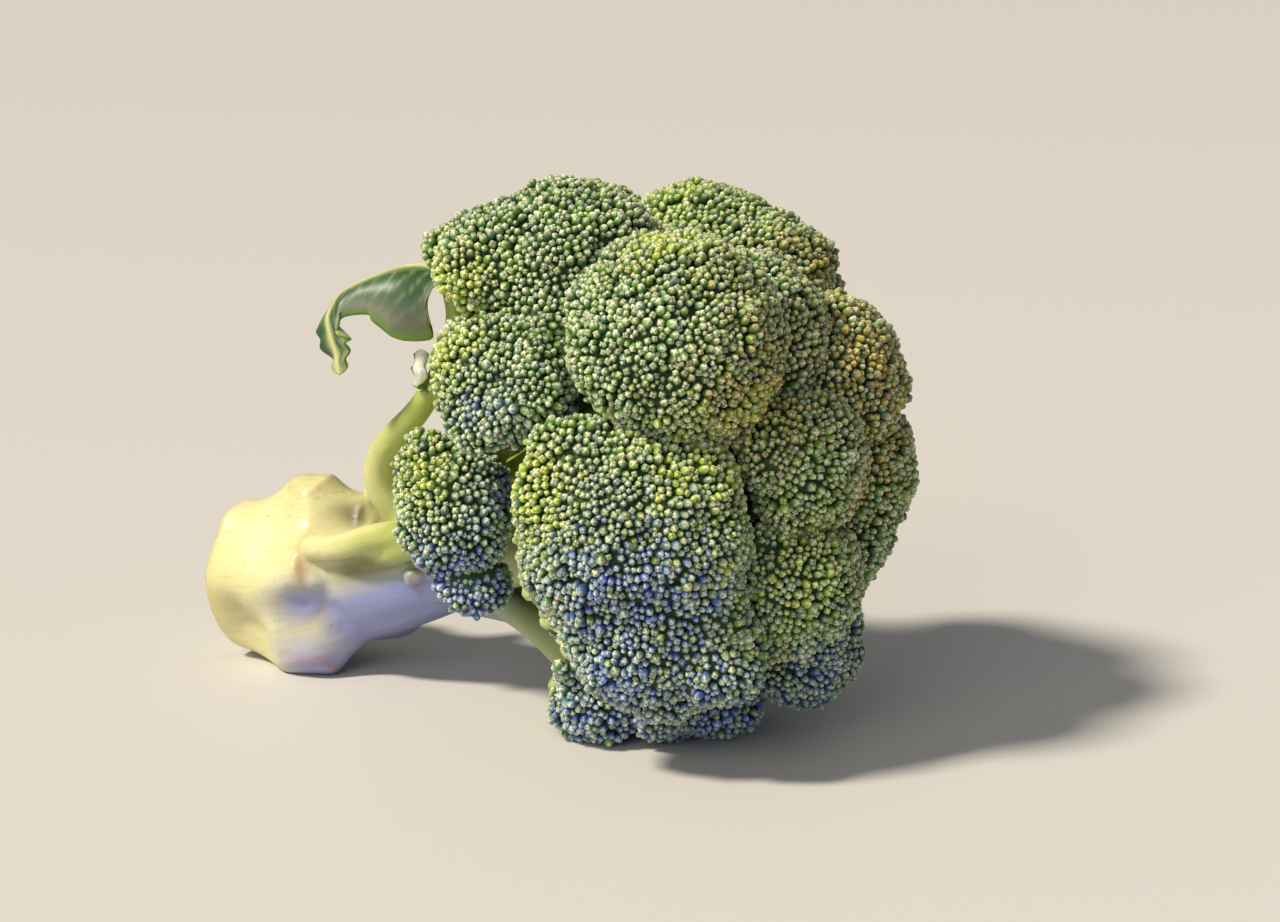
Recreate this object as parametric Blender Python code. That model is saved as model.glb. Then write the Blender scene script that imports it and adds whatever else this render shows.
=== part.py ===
"""A broccoli head lying on its side: a thick cut stalk that forks into branches, the
florets that the branches carry, each a dome packed with closed buds, and two small leaves.

The stalk's cut end points along -X and the crown along +X, climbing from the table by
AXIS_RISE. Z is up, and the head rests on z = 0, on the stalk's heel and the florets under
the crown.
Lengths are in millimetres and angles in degrees until a mesh is made.
"""

import math

import bmesh
import bpy
import numpy as np
from mathutils import Vector

MM = 0.001
UP = np.array([0.0, 0.0, 1.0])
FRONT = np.array([0.0, -1.0, 0.0])
SMALL = 1e-9
HINT = np.array([0.1, -1.0, 0.3])   # keeps the corners of a tube's rings in step

# The crown is built about one centre. A place on it is a lean from the stalk's axis, a bearing
# round that axis (0 is up, 90 is towards -Y, 180 is down) and a reach from the centre.
CROWN_CENTRE = np.array([26.9, -2.2, 65.5])
AXIS_RISE = 20.0
INNER_RADIUS = 57.0     # the creases between florets are no deeper than this ball
INNER_LEAN = 110.0      # florets that lean further back stand clear of that ball

# Each floret is a set of lobes (lean, bearing, reach, radius) and the distance along the
# stalk, counted back from the crown's centre, where its branch leaves it.
FLORETS = {
    "floret_top_front": (50, [(78, 20, 48.5, 22), (93, 29, 56.5, 16)]),
    "floret_upper_front": (38, [(42, 52, 51.5, 25)]),
    "floret_rim_front": (62, [(94, 56, 43, 17), (85, 53, 38.5, 13)]),
    "floret_front": (52, [(60, 118, 37, 31), (84, 91, 43, 14), (72, 143, 46.5, 25), (63, 146, 64, 12)]),
    "floret_low_front": (84, [(129, 79, 44, 14), (127, 96, 46.5, 12.5), (127, 119, 51, 10)]),
    "floret_top_back": (42, [(66, -32, 49, 21), (49, -41, 50, 19.5)]),
    "floret_tip": (34, [(18, -75, 49, 21)]),
    "floret_tip_front": (34, [(17, 143, 49, 18)]),
    "floret_nose": (40, [(46, 167, 53.5, 17.5)]),
    "floret_nose_back": (38, [(33, -129, 50.5, 18), (44, -148, 50.5, 15.5)]),
    "floret_nose_low": (54, [(65, -172, 59.5, 15.5)]),
    "floret_under_front": (58, [(106, 162, 55.5, 14)]),
    "floret_under": (64, [(91, 168, 55, 14), (83, 176, 59, 12)]),
    "floret_tip_top": (34, [(24, 12, 46, 20)]),
    "floret_back_upper": (50, [(82, -66, 46, 22)]),
    "floret_back": (42, [(56, -96, 47, 22)]),
    "floret_back_lower": (52, [(70, -137, 48, 22)]),
    "floret_rim_back": (64, [(100, -103, 45, 18)]),
    "floret_under_back": (64, [(100, -156, 52, 17)]),
    "floret_low_back": (78, [(122, -68, 47, 15)]),
    "floret_rim_top": (60, [(94, -18, 52, 17)]),
}
GAP = 0.6               # between neighbours, and between a floret and its branch
BRANCH_RADIUS = 0.26    # of the floret's main lobe
BASE_ROOM = 1.0         # how much wider than its branch a floret's flat base is
BASE_DEPTH = 0.62       # how far under its centre a floret ends, as a share of its radius
UNDERSIDE_ANGLE = 60.0  # half angle of the cone under a floret
BUD_LIMIT = 108.0       # buds grow up to this angle from a floret's growth direction
BLEND = 1.2             # rounds the valleys where lobes of one floret meet

# Each dome swells into clusters, and each cluster carries buds, here larger than life.
CLUSTER_SPACING = 13.0
CLUSTER_HEIGHT = 2.6
CLUSTER_WIDTH = 10.0
CLUSTER_LEVEL = 0.6     # the part of a swell's height that lies below the dome's own surface
BUD_SPACING = 5.0
BUD_RISE = 0.9
BUD_SINK = 0.9
FLANK_SPACING = 12.0    # of corners where florets press on each other or face the stalk
PACKING = 0.82          # first picks of bud places stand this share of the spacing apart
BUD_ROOM = 0.2          # buds grow where the dome is this far from every neighbour
BASE_SIDES = 6
CLUSTER_CANDIDATES = 1500
BUD_CANDIDATES = 4000
CLUSTER_SEED = 7
BUD_SEED = 107

# The stalk bends: its axis is an arc that climbs steeply at the crown and little at the cut.
RISE_AT_CROWN = 37.0
RISE_AT_CUT = 6.0
STALK_CUT = 130.0
STALK_SIDES = 24
STALK_RINGS = (130, 127.5, 124, 120, 116, 112, 108, 104, 100, 97, 94, 90, 86, 80, 72, 62, 50, 38, 26)
# (distance back along the axis, radius)
STALK_PROFILE = (
    (130, 17.2), (127.5, 18.4), (120, 18.8), (100, 19.0), (80, 17.6), (60, 15.5), (44, 13.0), (26, 7.0),
)
# Low ribs along the stalk: how many, the angle that turns them, height as a share of the radius
STALK_RIBS = ((3, 40, 0.03), (5, 0, 0.02))
SCAR_TAIL = 2.0         # how much further a scar runs down the stalk than up
# What leaf stalks left where they were trimmed: distance back, bearing, length along, width
# round the stalk, and height. A hollow has a negative height.
LEAF_SCARS = (
    (98, 5, 7, 9, 7.0),
    (102, 150, 9, 9, 8.5),
    (97, 98, 5, 9, 2.8),
    (92, 125, 6, 7, -2.6),
    (116, 128, 6, 6, -2.0),
    (112, -75, 8, 10, 4.0),
    (90, -140, 7, 9, 3.5),
    (88, -35, 6, 7, 3.0),
)
# Stubs of side shoots cut short: distance back, bearing, radius, length. A stub starts a share
# of the stalk's radius out from its axis, leans towards the crown and widens at its root.
STUBS = ((84, 14, 3.2, 8.5), (74, 112, 2.6, 5.0), (96, -60, 3.5, 6.0))
STUB_ROOT = 0.6
STUB_SUNK = 0.5
STUB_LEAN = 0.7
STUB_FLARE = 1.3

# A branch starts inside the stalk, this far below its fork and this share of the stalk's
# radius out towards its floret.
ROOT_DEPTH = 8.0
ROOT_OFFSET = 0.45
BRANCH_SWEEP = 0.36     # how gently a branch curves, as a share of its length
BRANCH_SPREAD = 0.35    # how much it points outward where it leaves the stalk
BRANCH_ENDS = 1.12      # its radius at both ends, as a share of its floret's base
BRANCH_WAIST = 0.28     # how much thinner it is halfway
BRANCH_SIDES = 8
BRANCH_RINGS = 8
TANGENT_STEP = 0.01     # along a limb, for its direction

# The leafy side shoot, by places from the crown's centre, and its radius at both ends
SHOOT_ROUTE = (
    (-62, -3, -27), (-69, -7, -14), (-66, -9, -4), (-53, -12, 8), (-45, -13, 20), (-43, -11, 31),
    (-44.5, -11, 40),
)
SHOOT_RADII = (5.0, 2.2)
SHOOT_TAPER = 1.3       # it is down to its thin radius this many times sooner than at its end
SHOOT_RINGS = 10

# Florets keep clear of balls that stand for the stalk, the shoot and the branches.
STALK_ROOM = 1.5        # for the stalk's ribs
STALK_BALLS = range(30, 130, 6)
SHOOT_BALLS = np.linspace(0, 1, 12)
BRANCH_BALLS = np.linspace(0.05, 0.97, 16)

# A leaf folds along its midrib. It starts at a place along the shoot (0 to 1), on the side that
# the direction gives, and its flat side faces an angle from -Y towards +X. Each station is a
# place on the midrib (out from the base, up), then the width and the droop of the half that
# faces the front, then of the half behind. A half droops less at the midrib than at its edge.
LEAF_THICKNESS = 1.1
LEAF_WAVE = 0.12        # how far an edge sways to and fro, as a share of the half's width
WAVE_TURN = 2.1         # radians of that sway from one station to the next
INNER_DROOP = 0.6
OUTER_DROOP = 1.4
LEAF_FACING = 32.0
LEAF_CLEARANCE = 1.2    # from the shoot's surface to the start of the midrib
LEAVES = {
    "leaf_arched": (1.0, (-0.2, -0.1, 1.0), LEAF_FACING, (
        (0.0, 0.0, 0.9, 0, 0.9, 0), (2.5, 1.8, 5.0, 25, 4.0, 25), (5.5, 2.8, 19.0, 82, 8.0, 55),
        (10.0, 2.8, 20.0, 80, 9.0, 50), (15.0, 1.4, 15.0, 72, 9.0, 45), (20.0, -0.8, 9.5, 62, 8.5, 40),
        (24.0, -2.4, 7.5, 55, 8.0, 40), (27.5, -5.4, 8.0, 50, 7.0, 35), (29.5, -9.5, 8.0, 30, 5.0, 30),
        (29.0, -13.5, 6.0, 15, 4.0, 20), (27.5, -17.5, 3.6, 5, 3.0, 10), (27.0, -21.0, 2.2, 0, 2.0, 0),
        (27.0, -24.5, 0.9, 0, 0.9, 0),
    )),
    "leaf_small": (0.56, (0.1, -0.95, 0.3), 50.0, (
        (0.0, 0.0, 0.9, 20, 0.9, 20), (0.8, 2.5, 3.6, 35, 2.5, 35), (1.2, 5.0, 4.6, 40, 3.0, 40),
        (0.8, 8.0, 4.0, 45, 2.6, 45), (-0.6, 10.5, 1.4, 50, 1.4, 50),
    )),
}

BUD_GREEN = (0.10, 0.20, 0.07)
STALK_GREEN = (0.55, 0.62, 0.30)
LEAF_GREEN = (0.08, 0.20, 0.06)
BUD_ROUGHNESS = 0.7
STALK_ROUGHNESS = 0.5
LEAF_ROUGHNESS = 0.55


def crown_direction(lean, bearing):
    lean, bearing, rise = (math.radians(angle) for angle in (lean, bearing, AXIS_RISE))
    axis = np.array([math.cos(rise), 0.0, math.sin(rise)])
    upward = np.array([-math.sin(rise), 0.0, math.cos(rise)])
    across = math.cos(bearing) * upward + math.sin(bearing) * FRONT
    return math.cos(lean) * axis + math.sin(lean) * across


def unit(vectors):
    return vectors / np.linalg.norm(vectors, axis=-1, keepdims=True)


def spread_directions(count):
    """Evenly spread directions, by the golden angle."""
    steps = np.arange(count) + 0.5
    height = 1 - 2 * steps / count
    turn = steps * math.pi * (3 - math.sqrt(5))
    flat = np.sqrt(1 - height**2)
    return np.stack([flat * np.cos(turn), flat * np.sin(turn), height], axis=1)


def stalk_rise(back):
    return math.radians(RISE_AT_CROWN + (RISE_AT_CUT - RISE_AT_CROWN) * back / STALK_CUT)


def stalk_place(back):
    """A place on the stalk's axis, an arc, at a distance back along it from the crown's centre."""
    bend = (stalk_rise(STALK_CUT) - stalk_rise(0)) / STALK_CUT
    run = (math.sin(stalk_rise(back)) - math.sin(stalk_rise(0))) / bend
    drop = (math.cos(stalk_rise(0)) - math.cos(stalk_rise(back))) / bend
    return CROWN_CENTRE - np.array([run, 0.0, drop])


def stalk_direction(back):
    return np.array([math.cos(stalk_rise(back)), 0.0, math.sin(stalk_rise(back))])


def stalk_outward(back, bearing):
    upward = np.array([-math.sin(stalk_rise(back)), 0.0, math.cos(stalk_rise(back))])
    return math.cos(math.radians(bearing)) * upward + math.sin(math.radians(bearing)) * FRONT


def stalk_width(back):
    profile = sorted(STALK_PROFILE)
    return np.interp(back, [p[0] for p in profile], [p[1] for p in profile])


def stalk_radius(back, bearing):
    """The stalk's radius with its ribs and its leaf scars, at a distance back and a bearing."""
    width = stalk_width(back)
    radius = width
    for count, turn, height in STALK_RIBS:
        radius += height * width * math.cos(math.radians(count * bearing + turn))
    for place, turn, length, across, height in LEAF_SCARS:
        round_by = math.radians((bearing - turn + 180) % 360 - 180) * width
        # a scar is steep on the side of the crown and runs down the stalk as a rib
        stretch = length * (SCAR_TAIL if back > place else 1.0)
        radius += height * math.exp(-(((back - place) / stretch) ** 2) - (round_by / across) ** 2)
    return radius


def bezier(points, t):
    a, b, c, d = points
    return (1 - t) ** 3 * a + 3 * (1 - t) ** 2 * t * b + 3 * (1 - t) * t**2 * c + t**3 * d


def branch_route(floret):
    """The branch's line, from inside the stalk to just under the floret's base."""
    start = floret["fork"] + ROOT_DEPTH
    across = floret["centre"] - stalk_place(start)
    across = unit(across - (across @ stalk_direction(start)) * stalk_direction(start))
    root = stalk_place(start) + ROOT_OFFSET * stalk_width(start) * across
    end = floret["base"] - GAP / 2 * floret["growth"]
    handle = np.linalg.norm(end - root) * BRANCH_SWEEP
    leave = unit(stalk_direction(start) + BRANCH_SPREAD * across)
    return root, root + handle * leave, end - handle * floret["growth"], end


def branch_radius(floret, t):
    return floret["base_radius"] * (BRANCH_ENDS - BRANCH_WAIST * math.sin(math.pi * t))


def smooth_route(points, t):
    """A place on a smooth curve through all the points, for t from 0 to 1."""
    count = len(points) - 1
    k = min(int(t * count), count - 1)
    s = t * count - k
    before, a = points[max(k - 1, 0)], points[k]
    b, after = points[k + 1], points[min(k + 2, count)]
    bend = (2 * before - 5 * a + 4 * b - after) * s**2 + (3 * a - before - 3 * b + after) * s**3
    return a + 0.5 * ((b - before) * s + bend)


def shoot_place(t):
    return CROWN_CENTRE + smooth_route(np.array(SHOOT_ROUTE, dtype=float), t)


def shoot_radius(t):
    return SHOOT_RADII[0] + (SHOOT_RADII[1] - SHOOT_RADII[0]) * min(SHOOT_TAPER * t, 1.0)


def wood(florets):
    """Balls along the stalk, its leafy shoot and every branch, each with the floret it carries."""
    balls = [(stalk_place(back), stalk_width(back) + STALK_ROOM, None) for back in STALK_BALLS]
    balls += [(shoot_place(t), shoot_radius(t), None) for t in SHOOT_BALLS]
    for floret in florets:
        route = branch_route(floret)
        for t in BRANCH_BALLS:
            balls.append((bezier(route, t), branch_radius(floret, t), floret["name"]))
    return balls


def ball_exit(origin, directions, centre, radius):
    """How far from origin each direction leaves a ball, or 0 where it misses the ball."""
    to_centre = centre - origin
    along = directions @ to_centre
    square = along**2 - to_centre @ to_centre + radius**2
    return np.where(square > 0, along + np.sqrt(np.maximum(square, 0)), 0.0)


def cone_exit(floret, directions):
    """How far from the floret's centre each direction leaves the cone that opens from its base."""
    narrow = math.cos(math.radians(UNDERSIDE_ANGLE))
    apex_depth = floret["base_radius"] / math.tan(math.radians(UNDERSIDE_ANGLE))
    apex = floret["base"] - apex_depth * floret["growth"]
    start = floret["centre"] - apex
    a = (directions @ floret["growth"]) ** 2 - narrow**2
    b = (start @ floret["growth"]) * (directions @ floret["growth"]) - narrow**2 * (directions @ start)
    c = (start @ floret["growth"]) ** 2 - narrow**2 * (start @ start)
    root = np.sqrt(np.maximum(b * b - a * c, 0))
    far = np.full(len(directions), np.inf)
    for crossing in ((-b - root) / a, (-b + root) / a):
        far = np.where((crossing > 0) & (crossing < far), crossing, far)
    return far


def plane_exit(origin, directions, normal, offset):
    """How far from origin each direction crosses the plane p . normal = offset."""
    towards = directions @ normal
    room = offset - origin @ normal
    return np.where(towards > SMALL, room / np.maximum(towards, SMALL), np.inf)


def floret_surface(floret, directions, relief=0.0):
    """The floret's reach from its centre in each direction, and whether buds grow there."""
    centre = floret["centre"]
    exits = [ball_exit(centre, directions, place, radius) for place, radius in floret["balls"]]
    dome = BLEND * np.log(sum(np.exp(reach / BLEND) for reach in exits))
    if len(floret["clusters"]):
        points = centre + dome[:, None] * directions
        nearest = np.linalg.norm(points[:, None, :] - floret["clusters"][None, :, :], axis=2).min(axis=1)
        swell = np.sqrt(np.maximum(1 - (nearest / CLUSTER_WIDTH) ** 2, 0))
        dome = dome + CLUSTER_HEIGHT * (swell - CLUSTER_LEVEL)
    limit = cone_exit(floret, directions)
    for normal, offset in floret["planes"]:
        limit = np.minimum(limit, plane_exit(centre, directions, normal, offset))
    facing = np.degrees(np.arccos(np.clip(directions @ floret["growth"], -1, 1)))
    buds = (dome < limit - BUD_ROOM) & (facing < BUD_LIMIT)
    return np.minimum(dome + np.where(buds, relief, 0.0), limit), buds


def spaced_choice(points, spacing, rng, fixed=()):
    """Indices of points at least their own spacing apart, in a random order after the fixed ones."""
    chosen = list(fixed)
    for i in rng.permutation(len(points)):
        if not chosen or np.linalg.norm(points[chosen] - points[i], axis=1).min() > spacing[i]:
            chosen.append(i)
    return np.array(chosen)


def evened(points, chosen, weights, fixed=0, rounds=6):
    """The chosen points, each moved to the candidate in the middle of the area nearest to it."""
    for _ in range(rounds):
        nearest = np.linalg.norm(points[:, None, :] - points[chosen][None, :, :], axis=2).argmin(axis=1)
        for k in range(fixed, len(chosen)):
            own = np.flatnonzero(nearest == k)
            middle = np.average(points[own], axis=0, weights=weights[own])
            chosen[k] = own[np.linalg.norm(points[own] - middle, axis=1).argmin()]
    return chosen


def parting_plane(first, second):
    """The plane that parts two florets: where their two most deeply meeting lobes cross."""
    pairs = [
        (a[1] + b[1] - np.linalg.norm(a[0] - b[0]), i, j)
        for i, a in enumerate(first["lobes"])
        for j, b in enumerate(second["lobes"])
    ]
    _, i, j = max(pairs)
    (place_a, radius_a), (place_b, radius_b) = first["lobes"][i], second["lobes"][j]
    apart = np.linalg.norm(place_b - place_a)
    normal = (place_b - place_a) / apart
    return normal, place_a @ normal + (apart**2 + radius_a**2 - radius_b**2) / (2 * apart)


def plan_florets():
    """Every floret's lobes, centre, growth direction, base and the planes that bound it."""
    florets = []
    for name, (fork, lobes) in FLORETS.items():
        balls = [
            (CROWN_CENTRE + reach * crown_direction(lean, bearing), radius)
            for lean, bearing, reach, radius in lobes
        ]
        main = max(radius for _, radius in balls)
        weights = [radius**2 for _, radius in balls]
        centre = np.average([place for place, _ in balls], axis=0, weights=weights)
        growth = unit(centre - stalk_place(fork))
        florets.append({
            "name": name,
            "lobes": balls,
            "balls": balls + ([(CROWN_CENTRE, INNER_RADIUS)] if lobes[0][0] < INNER_LEAN else []),
            "fork": fork,
            "centre": centre,
            "growth": growth,
            "base": centre - BASE_DEPTH * main * growth,
            "base_radius": BRANCH_RADIUS * main + BASE_ROOM,
            "clusters": np.zeros((0, 3)),
        })
    balls = wood(florets)
    for floret in florets:
        planes = [(-floret["growth"], -floret["base"] @ floret["growth"]), (-UP, 0.0)]
        for other in florets:
            if other is not floret:
                normal, offset = parting_plane(floret, other)
                planes.append((normal, offset - GAP / 2))
        for place, radius, carried in balls:
            if carried != floret["name"]:
                normal = unit(place - floret["centre"])
                planes.append((normal, place @ normal - radius - GAP))
        floret["planes"] = planes
    candidates = spread_directions(CLUSTER_CANDIDATES)
    for index, floret in enumerate(florets):
        rng = np.random.default_rng(CLUSTER_SEED + index)
        reach, buds = floret_surface(floret, candidates)
        points = (floret["centre"] + reach[:, None] * candidates)[buds]
        chosen = spaced_choice(points, np.full(len(points), CLUSTER_SPACING), rng)
        floret["clusters"] = points[evened(points, chosen, reach[buds] ** 2)]
    return florets


def base_corners(floret):
    """Directions from the floret's centre to the middle and the rim of its flat base."""
    across, upward = ring_frame(floret["growth"], HINT)
    turns = [2 * math.pi * k / BASE_SIDES for k in range(BASE_SIDES)]
    rim = [floret["base_radius"] * (math.cos(turn) * across + math.sin(turn) * upward) for turn in turns]
    return unit(floret["base"] - floret["centre"] + np.array([np.zeros(3), *rim]))


def floret_mesh(floret, rng):
    """A closed skin of the floret, with one low pyramid for each bud."""
    base = base_corners(floret)
    candidates = np.concatenate([base, spread_directions(BUD_CANDIDATES)])
    reach, buds = floret_surface(floret, candidates)
    points = floret["centre"] + reach[:, None] * candidates
    spacing = np.where(buds, BUD_SPACING * PACKING, FLANK_SPACING)
    chosen = spaced_choice(points, spacing, rng, range(len(base)))
    weights = reach**2 * np.where(buds, (FLANK_SPACING / BUD_SPACING) ** 2, 1.0)
    tips = candidates[evened(points, chosen, weights, len(base))]
    triangles = net(tips)
    valleys = unit(tips[triangles].sum(axis=1))
    tip_reach, _ = floret_surface(floret, tips, BUD_RISE)
    valley_reach, _ = floret_surface(floret, valleys, -BUD_SINK)
    places = np.concatenate([tip_reach[:, None] * tips, valley_reach[:, None] * valleys]) + floret["centre"]
    return places, bud_faces(np.concatenate([tips, valleys]), triangles, len(tips))


def net(tips):
    """The triangles that join neighbouring directions, each counted round from outside."""
    bm = bmesh.new()
    for tip in tips:
        bm.verts.new(tip)
    bm.verts.index_update()
    bmesh.ops.convex_hull(bm, input=bm.verts[:])
    triangles = [[v.index for v in face.verts] for face in bm.faces]
    bm.free()
    return np.array([t if np.linalg.det(tips[t]) > 0 else t[::-1] for t in triangles])


def bud_faces(directions, triangles, tip_count):
    """Two faces for each pair of neighbouring tips, with a valley in the middle of each triangle."""
    valley_beside = {}
    for k, (a, b, c) in enumerate(triangles):
        for edge in ((a, b), (b, c), (c, a)):
            valley_beside[edge] = tip_count + k
    faces = []
    for (a, b), left in valley_beside.items():
        if a > b:
            continue
        right = valley_beside[b, a]
        halves = [(a, right, left), (b, left, right)]
        if any(np.linalg.det(directions[list(corners)]) <= 0 for corners in halves):
            halves = [(a, right, b), (b, left, a)]
        faces += halves
    return faces


def ring_frame(forward, hint):
    """Two directions across a tube that runs forward, the first as near to the hint as can be."""
    across = unit(hint - (hint @ forward) * forward)
    return across, np.cross(forward, across)


def tube(places, radii, directions, sides):
    """Rings of corners round a line, each across its own direction."""
    corners = []
    for place, radius, forward in zip(places, radii, directions):
        across, upward = ring_frame(forward, HINT)
        for j in range(sides):
            turn = 2 * math.pi * j / sides
            corners.append(place + radius * (math.cos(turn) * across + math.sin(turn) * upward))
    return corners, ring_faces(len(places), sides)


def ring_faces(rings, sides):
    """The walls and both end caps of a tube of rings of corners, faces outward."""
    faces = [tuple(range(sides))[::-1]]
    for k in range(rings - 1):
        for j in range(sides):
            a, b = k * sides + j, k * sides + (j + 1) % sides
            faces.append((a, b, b + sides, a + sides))
    faces.append(tuple((rings - 1) * sides + j for j in range(sides)))
    return faces


def stalk_mesh():
    places = []
    for back in STALK_RINGS:
        for j in range(STALK_SIDES):
            bearing = 360 * j / STALK_SIDES
            place = stalk_place(back) + stalk_radius(back, bearing) * stalk_outward(back, bearing)
            place[2] = max(place[2], 0.0)
            places.append(place)
    return places, ring_faces(len(STALK_RINGS), STALK_SIDES)


def branch_mesh(floret):
    route = branch_route(floret)
    steps = np.linspace(0, 1, BRANCH_RINGS)
    places = [bezier(route, t) for t in steps]
    directions = [unit(bezier(route, t + TANGENT_STEP) - bezier(route, t - TANGENT_STEP)) for t in steps]
    directions[-1] = floret["growth"]
    return tube(places, [branch_radius(floret, t) for t in steps], directions, BRANCH_SIDES)


def shoot_mesh():
    steps = np.linspace(0, 1, SHOOT_RINGS)
    places = [shoot_place(t) for t in steps]
    directions = [
        unit(shoot_place(min(t + TANGENT_STEP, 1)) - shoot_place(max(t - TANGENT_STEP, 0))) for t in steps
    ]
    return tube(places, [shoot_radius(t) for t in steps], directions, BRANCH_SIDES)


def stub_mesh(back, bearing, radius, length):
    """A side shoot cut short, leaning towards the crown."""
    lean = unit(stalk_outward(back, bearing) + STUB_LEAN * stalk_direction(back))
    root = stalk_place(back) + STUB_ROOT * stalk_width(back) * stalk_outward(back, bearing)
    tip = root + (STUB_SUNK * stalk_width(back) + length) * lean
    return tube([root, tip], [radius * STUB_FLARE, radius], [lean, lean], BRANCH_SIDES)


def leaf_mesh(t, side, facing, stations):
    """A folded blade: five corners across at each station, the same on both faces."""
    reach = LEAF_CLEARANCE + (shoot_radius(t) if t < 1 else 0.0)
    base = shoot_place(t) + reach * unit(np.array(side))
    near = np.array([math.sin(math.radians(facing)), -math.cos(math.radians(facing)), 0.0])
    out = np.array([-math.cos(math.radians(facing)), -math.sin(math.radians(facing)), 0.0])
    rows = []
    for k, (along, up, near_width, near_droop, far_width, far_droop) in enumerate(stations):
        midrib = base + along * out + up * UP
        row = [midrib]
        for side, width, droop in ((near, near_width, near_droop), (-near, far_width, far_droop)):
            inner, outer = math.radians(INNER_DROOP * droop), math.radians(OUTER_DROOP * droop)
            half = midrib + width / 2 * (math.cos(inner) * side - math.sin(inner) * UP)
            edge = half + width / 2 * (math.cos(outer) * side - math.sin(outer) * UP)
            edge = edge + LEAF_WAVE * width * math.sin(WAVE_TURN * k) * out
            row = [*row, half, edge] if side is near else [edge, half, *row]
        rows.append(row)
    return thick_sheet(np.array(rows), LEAF_THICKNESS)


def thick_sheet(grid, thickness):
    """A closed body from a grid of places, split into triangles alike on both faces."""
    rows, columns = grid.shape[:2]
    lengthwise = np.gradient(grid, axis=0)
    crosswise = np.gradient(grid, axis=1)
    normals = unit(np.cross(lengthwise, crosswise))
    front = (grid + thickness / 2 * normals).reshape(-1, 3)
    rear = (grid - thickness / 2 * normals).reshape(-1, 3)
    count = rows * columns
    faces = []
    for i in range(rows - 1):
        for j in range(columns - 1):
            a = i * columns + j
            b, c, d = a + 1, a + columns + 1, a + columns
            for corners in ((a, d, c), (a, c, b)):
                faces.append(corners)
                faces.append(tuple(count + corner for corner in corners[::-1]))
    rim = [j for j in range(columns)]
    rim += [i * columns + columns - 1 for i in range(1, rows)]
    rim += [(rows - 1) * columns + j for j in range(columns - 2, -1, -1)]
    rim += [i * columns for i in range(rows - 2, 0, -1)]
    for a, b in zip(rim, rim[1:] + rim[:1]):
        faces += [(a, b, count + b), (a, count + b, count + a)]
    return np.concatenate([front, rear]), faces


def mesh_object(name, shape, material, collection=None):
    places, faces = shape
    mesh = bpy.data.meshes.new(name)
    mesh.from_pydata([Vector(place) * MM for place in places], [], faces)
    mesh.materials.append(material)
    obj = bpy.data.objects.new(name, mesh)
    (collection or bpy.context.scene.collection).objects.link(obj)
    return obj


def make_material(name, colour, roughness):
    material = bpy.data.materials.new(name)
    material.use_nodes = True
    shader = material.node_tree.nodes["Principled BSDF"]
    shader.inputs["Base Color"].default_value = (*colour, 1.0)
    shader.inputs["Roughness"].default_value = roughness
    shader.inputs["Metallic"].default_value = 0.0
    return material


def join(body, collection):
    """Fuses a collection's shapes into the body and removes them."""
    union = body.modifiers.new("join", "BOOLEAN")
    union.operation = "UNION"
    union.operand_type = "COLLECTION"
    union.collection = collection
    union.solver = "MANIFOLD"
    joined = bpy.data.meshes.new_from_object(body.evaluated_get(bpy.context.evaluated_depsgraph_get()))
    body.modifiers.clear()
    body.data = joined
    for obj in list(collection.objects):
        bpy.data.objects.remove(obj)
    bpy.data.collections.remove(collection)


def build_stalk(florets, material):
    """The stalk with its branches, leafy shoot and stubs, grown as one piece."""
    stalk = mesh_object("stalk", stalk_mesh(), material)
    limbs = bpy.data.collections.new("limbs")
    bpy.context.scene.collection.children.link(limbs)
    for floret in florets:
        mesh_object("branch_to_" + floret["name"], branch_mesh(floret), material, limbs)
    mesh_object("leafy_shoot", shoot_mesh(), material, limbs)
    for k, stub in enumerate(STUBS):
        mesh_object(f"stub_{k}", stub_mesh(*stub), material, limbs)
    join(stalk, limbs)


def build():
    for obj in list(bpy.data.objects):
        bpy.data.objects.remove(obj)
    florets = plan_florets()
    for index, floret in enumerate(florets):
        green = make_material(floret["name"] + "_buds", BUD_GREEN, BUD_ROUGHNESS)
        rng = np.random.default_rng(BUD_SEED + index)
        mesh_object(floret["name"], floret_mesh(floret, rng), green)
    build_stalk(florets, make_material("pale_stalk", STALK_GREEN, STALK_ROUGHNESS))
    for name, leaf in LEAVES.items():
        mesh_object(name, leaf_mesh(*leaf), make_material(name + "_blade", LEAF_GREEN, LEAF_ROUGHNESS))


build()
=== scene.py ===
import math

import bpy
import numpy as np
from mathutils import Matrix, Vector, kdtree


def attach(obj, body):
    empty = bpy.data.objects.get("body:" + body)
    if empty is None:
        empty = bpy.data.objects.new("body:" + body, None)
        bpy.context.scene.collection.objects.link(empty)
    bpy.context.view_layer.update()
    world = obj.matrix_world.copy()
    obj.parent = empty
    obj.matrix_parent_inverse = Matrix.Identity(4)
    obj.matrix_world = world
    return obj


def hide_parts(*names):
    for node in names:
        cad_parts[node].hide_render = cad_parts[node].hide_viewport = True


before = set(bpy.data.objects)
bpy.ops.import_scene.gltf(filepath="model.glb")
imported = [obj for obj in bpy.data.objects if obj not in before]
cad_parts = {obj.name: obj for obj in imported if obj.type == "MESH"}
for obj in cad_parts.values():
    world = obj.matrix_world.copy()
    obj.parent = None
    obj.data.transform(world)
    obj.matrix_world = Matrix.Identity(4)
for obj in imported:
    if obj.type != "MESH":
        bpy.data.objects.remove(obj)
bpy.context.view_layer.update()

# Lengths are in millimetres and angles in degrees until a mesh is made
MM = 0.001
UP = np.array([0.0, 0.0, 1.0])
FRONT = np.array([0.0, -1.0, 0.0])
HINT = np.array([0.1, -1.0, 0.3])   # with a piece's own way, it gives the way across the piece

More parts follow.
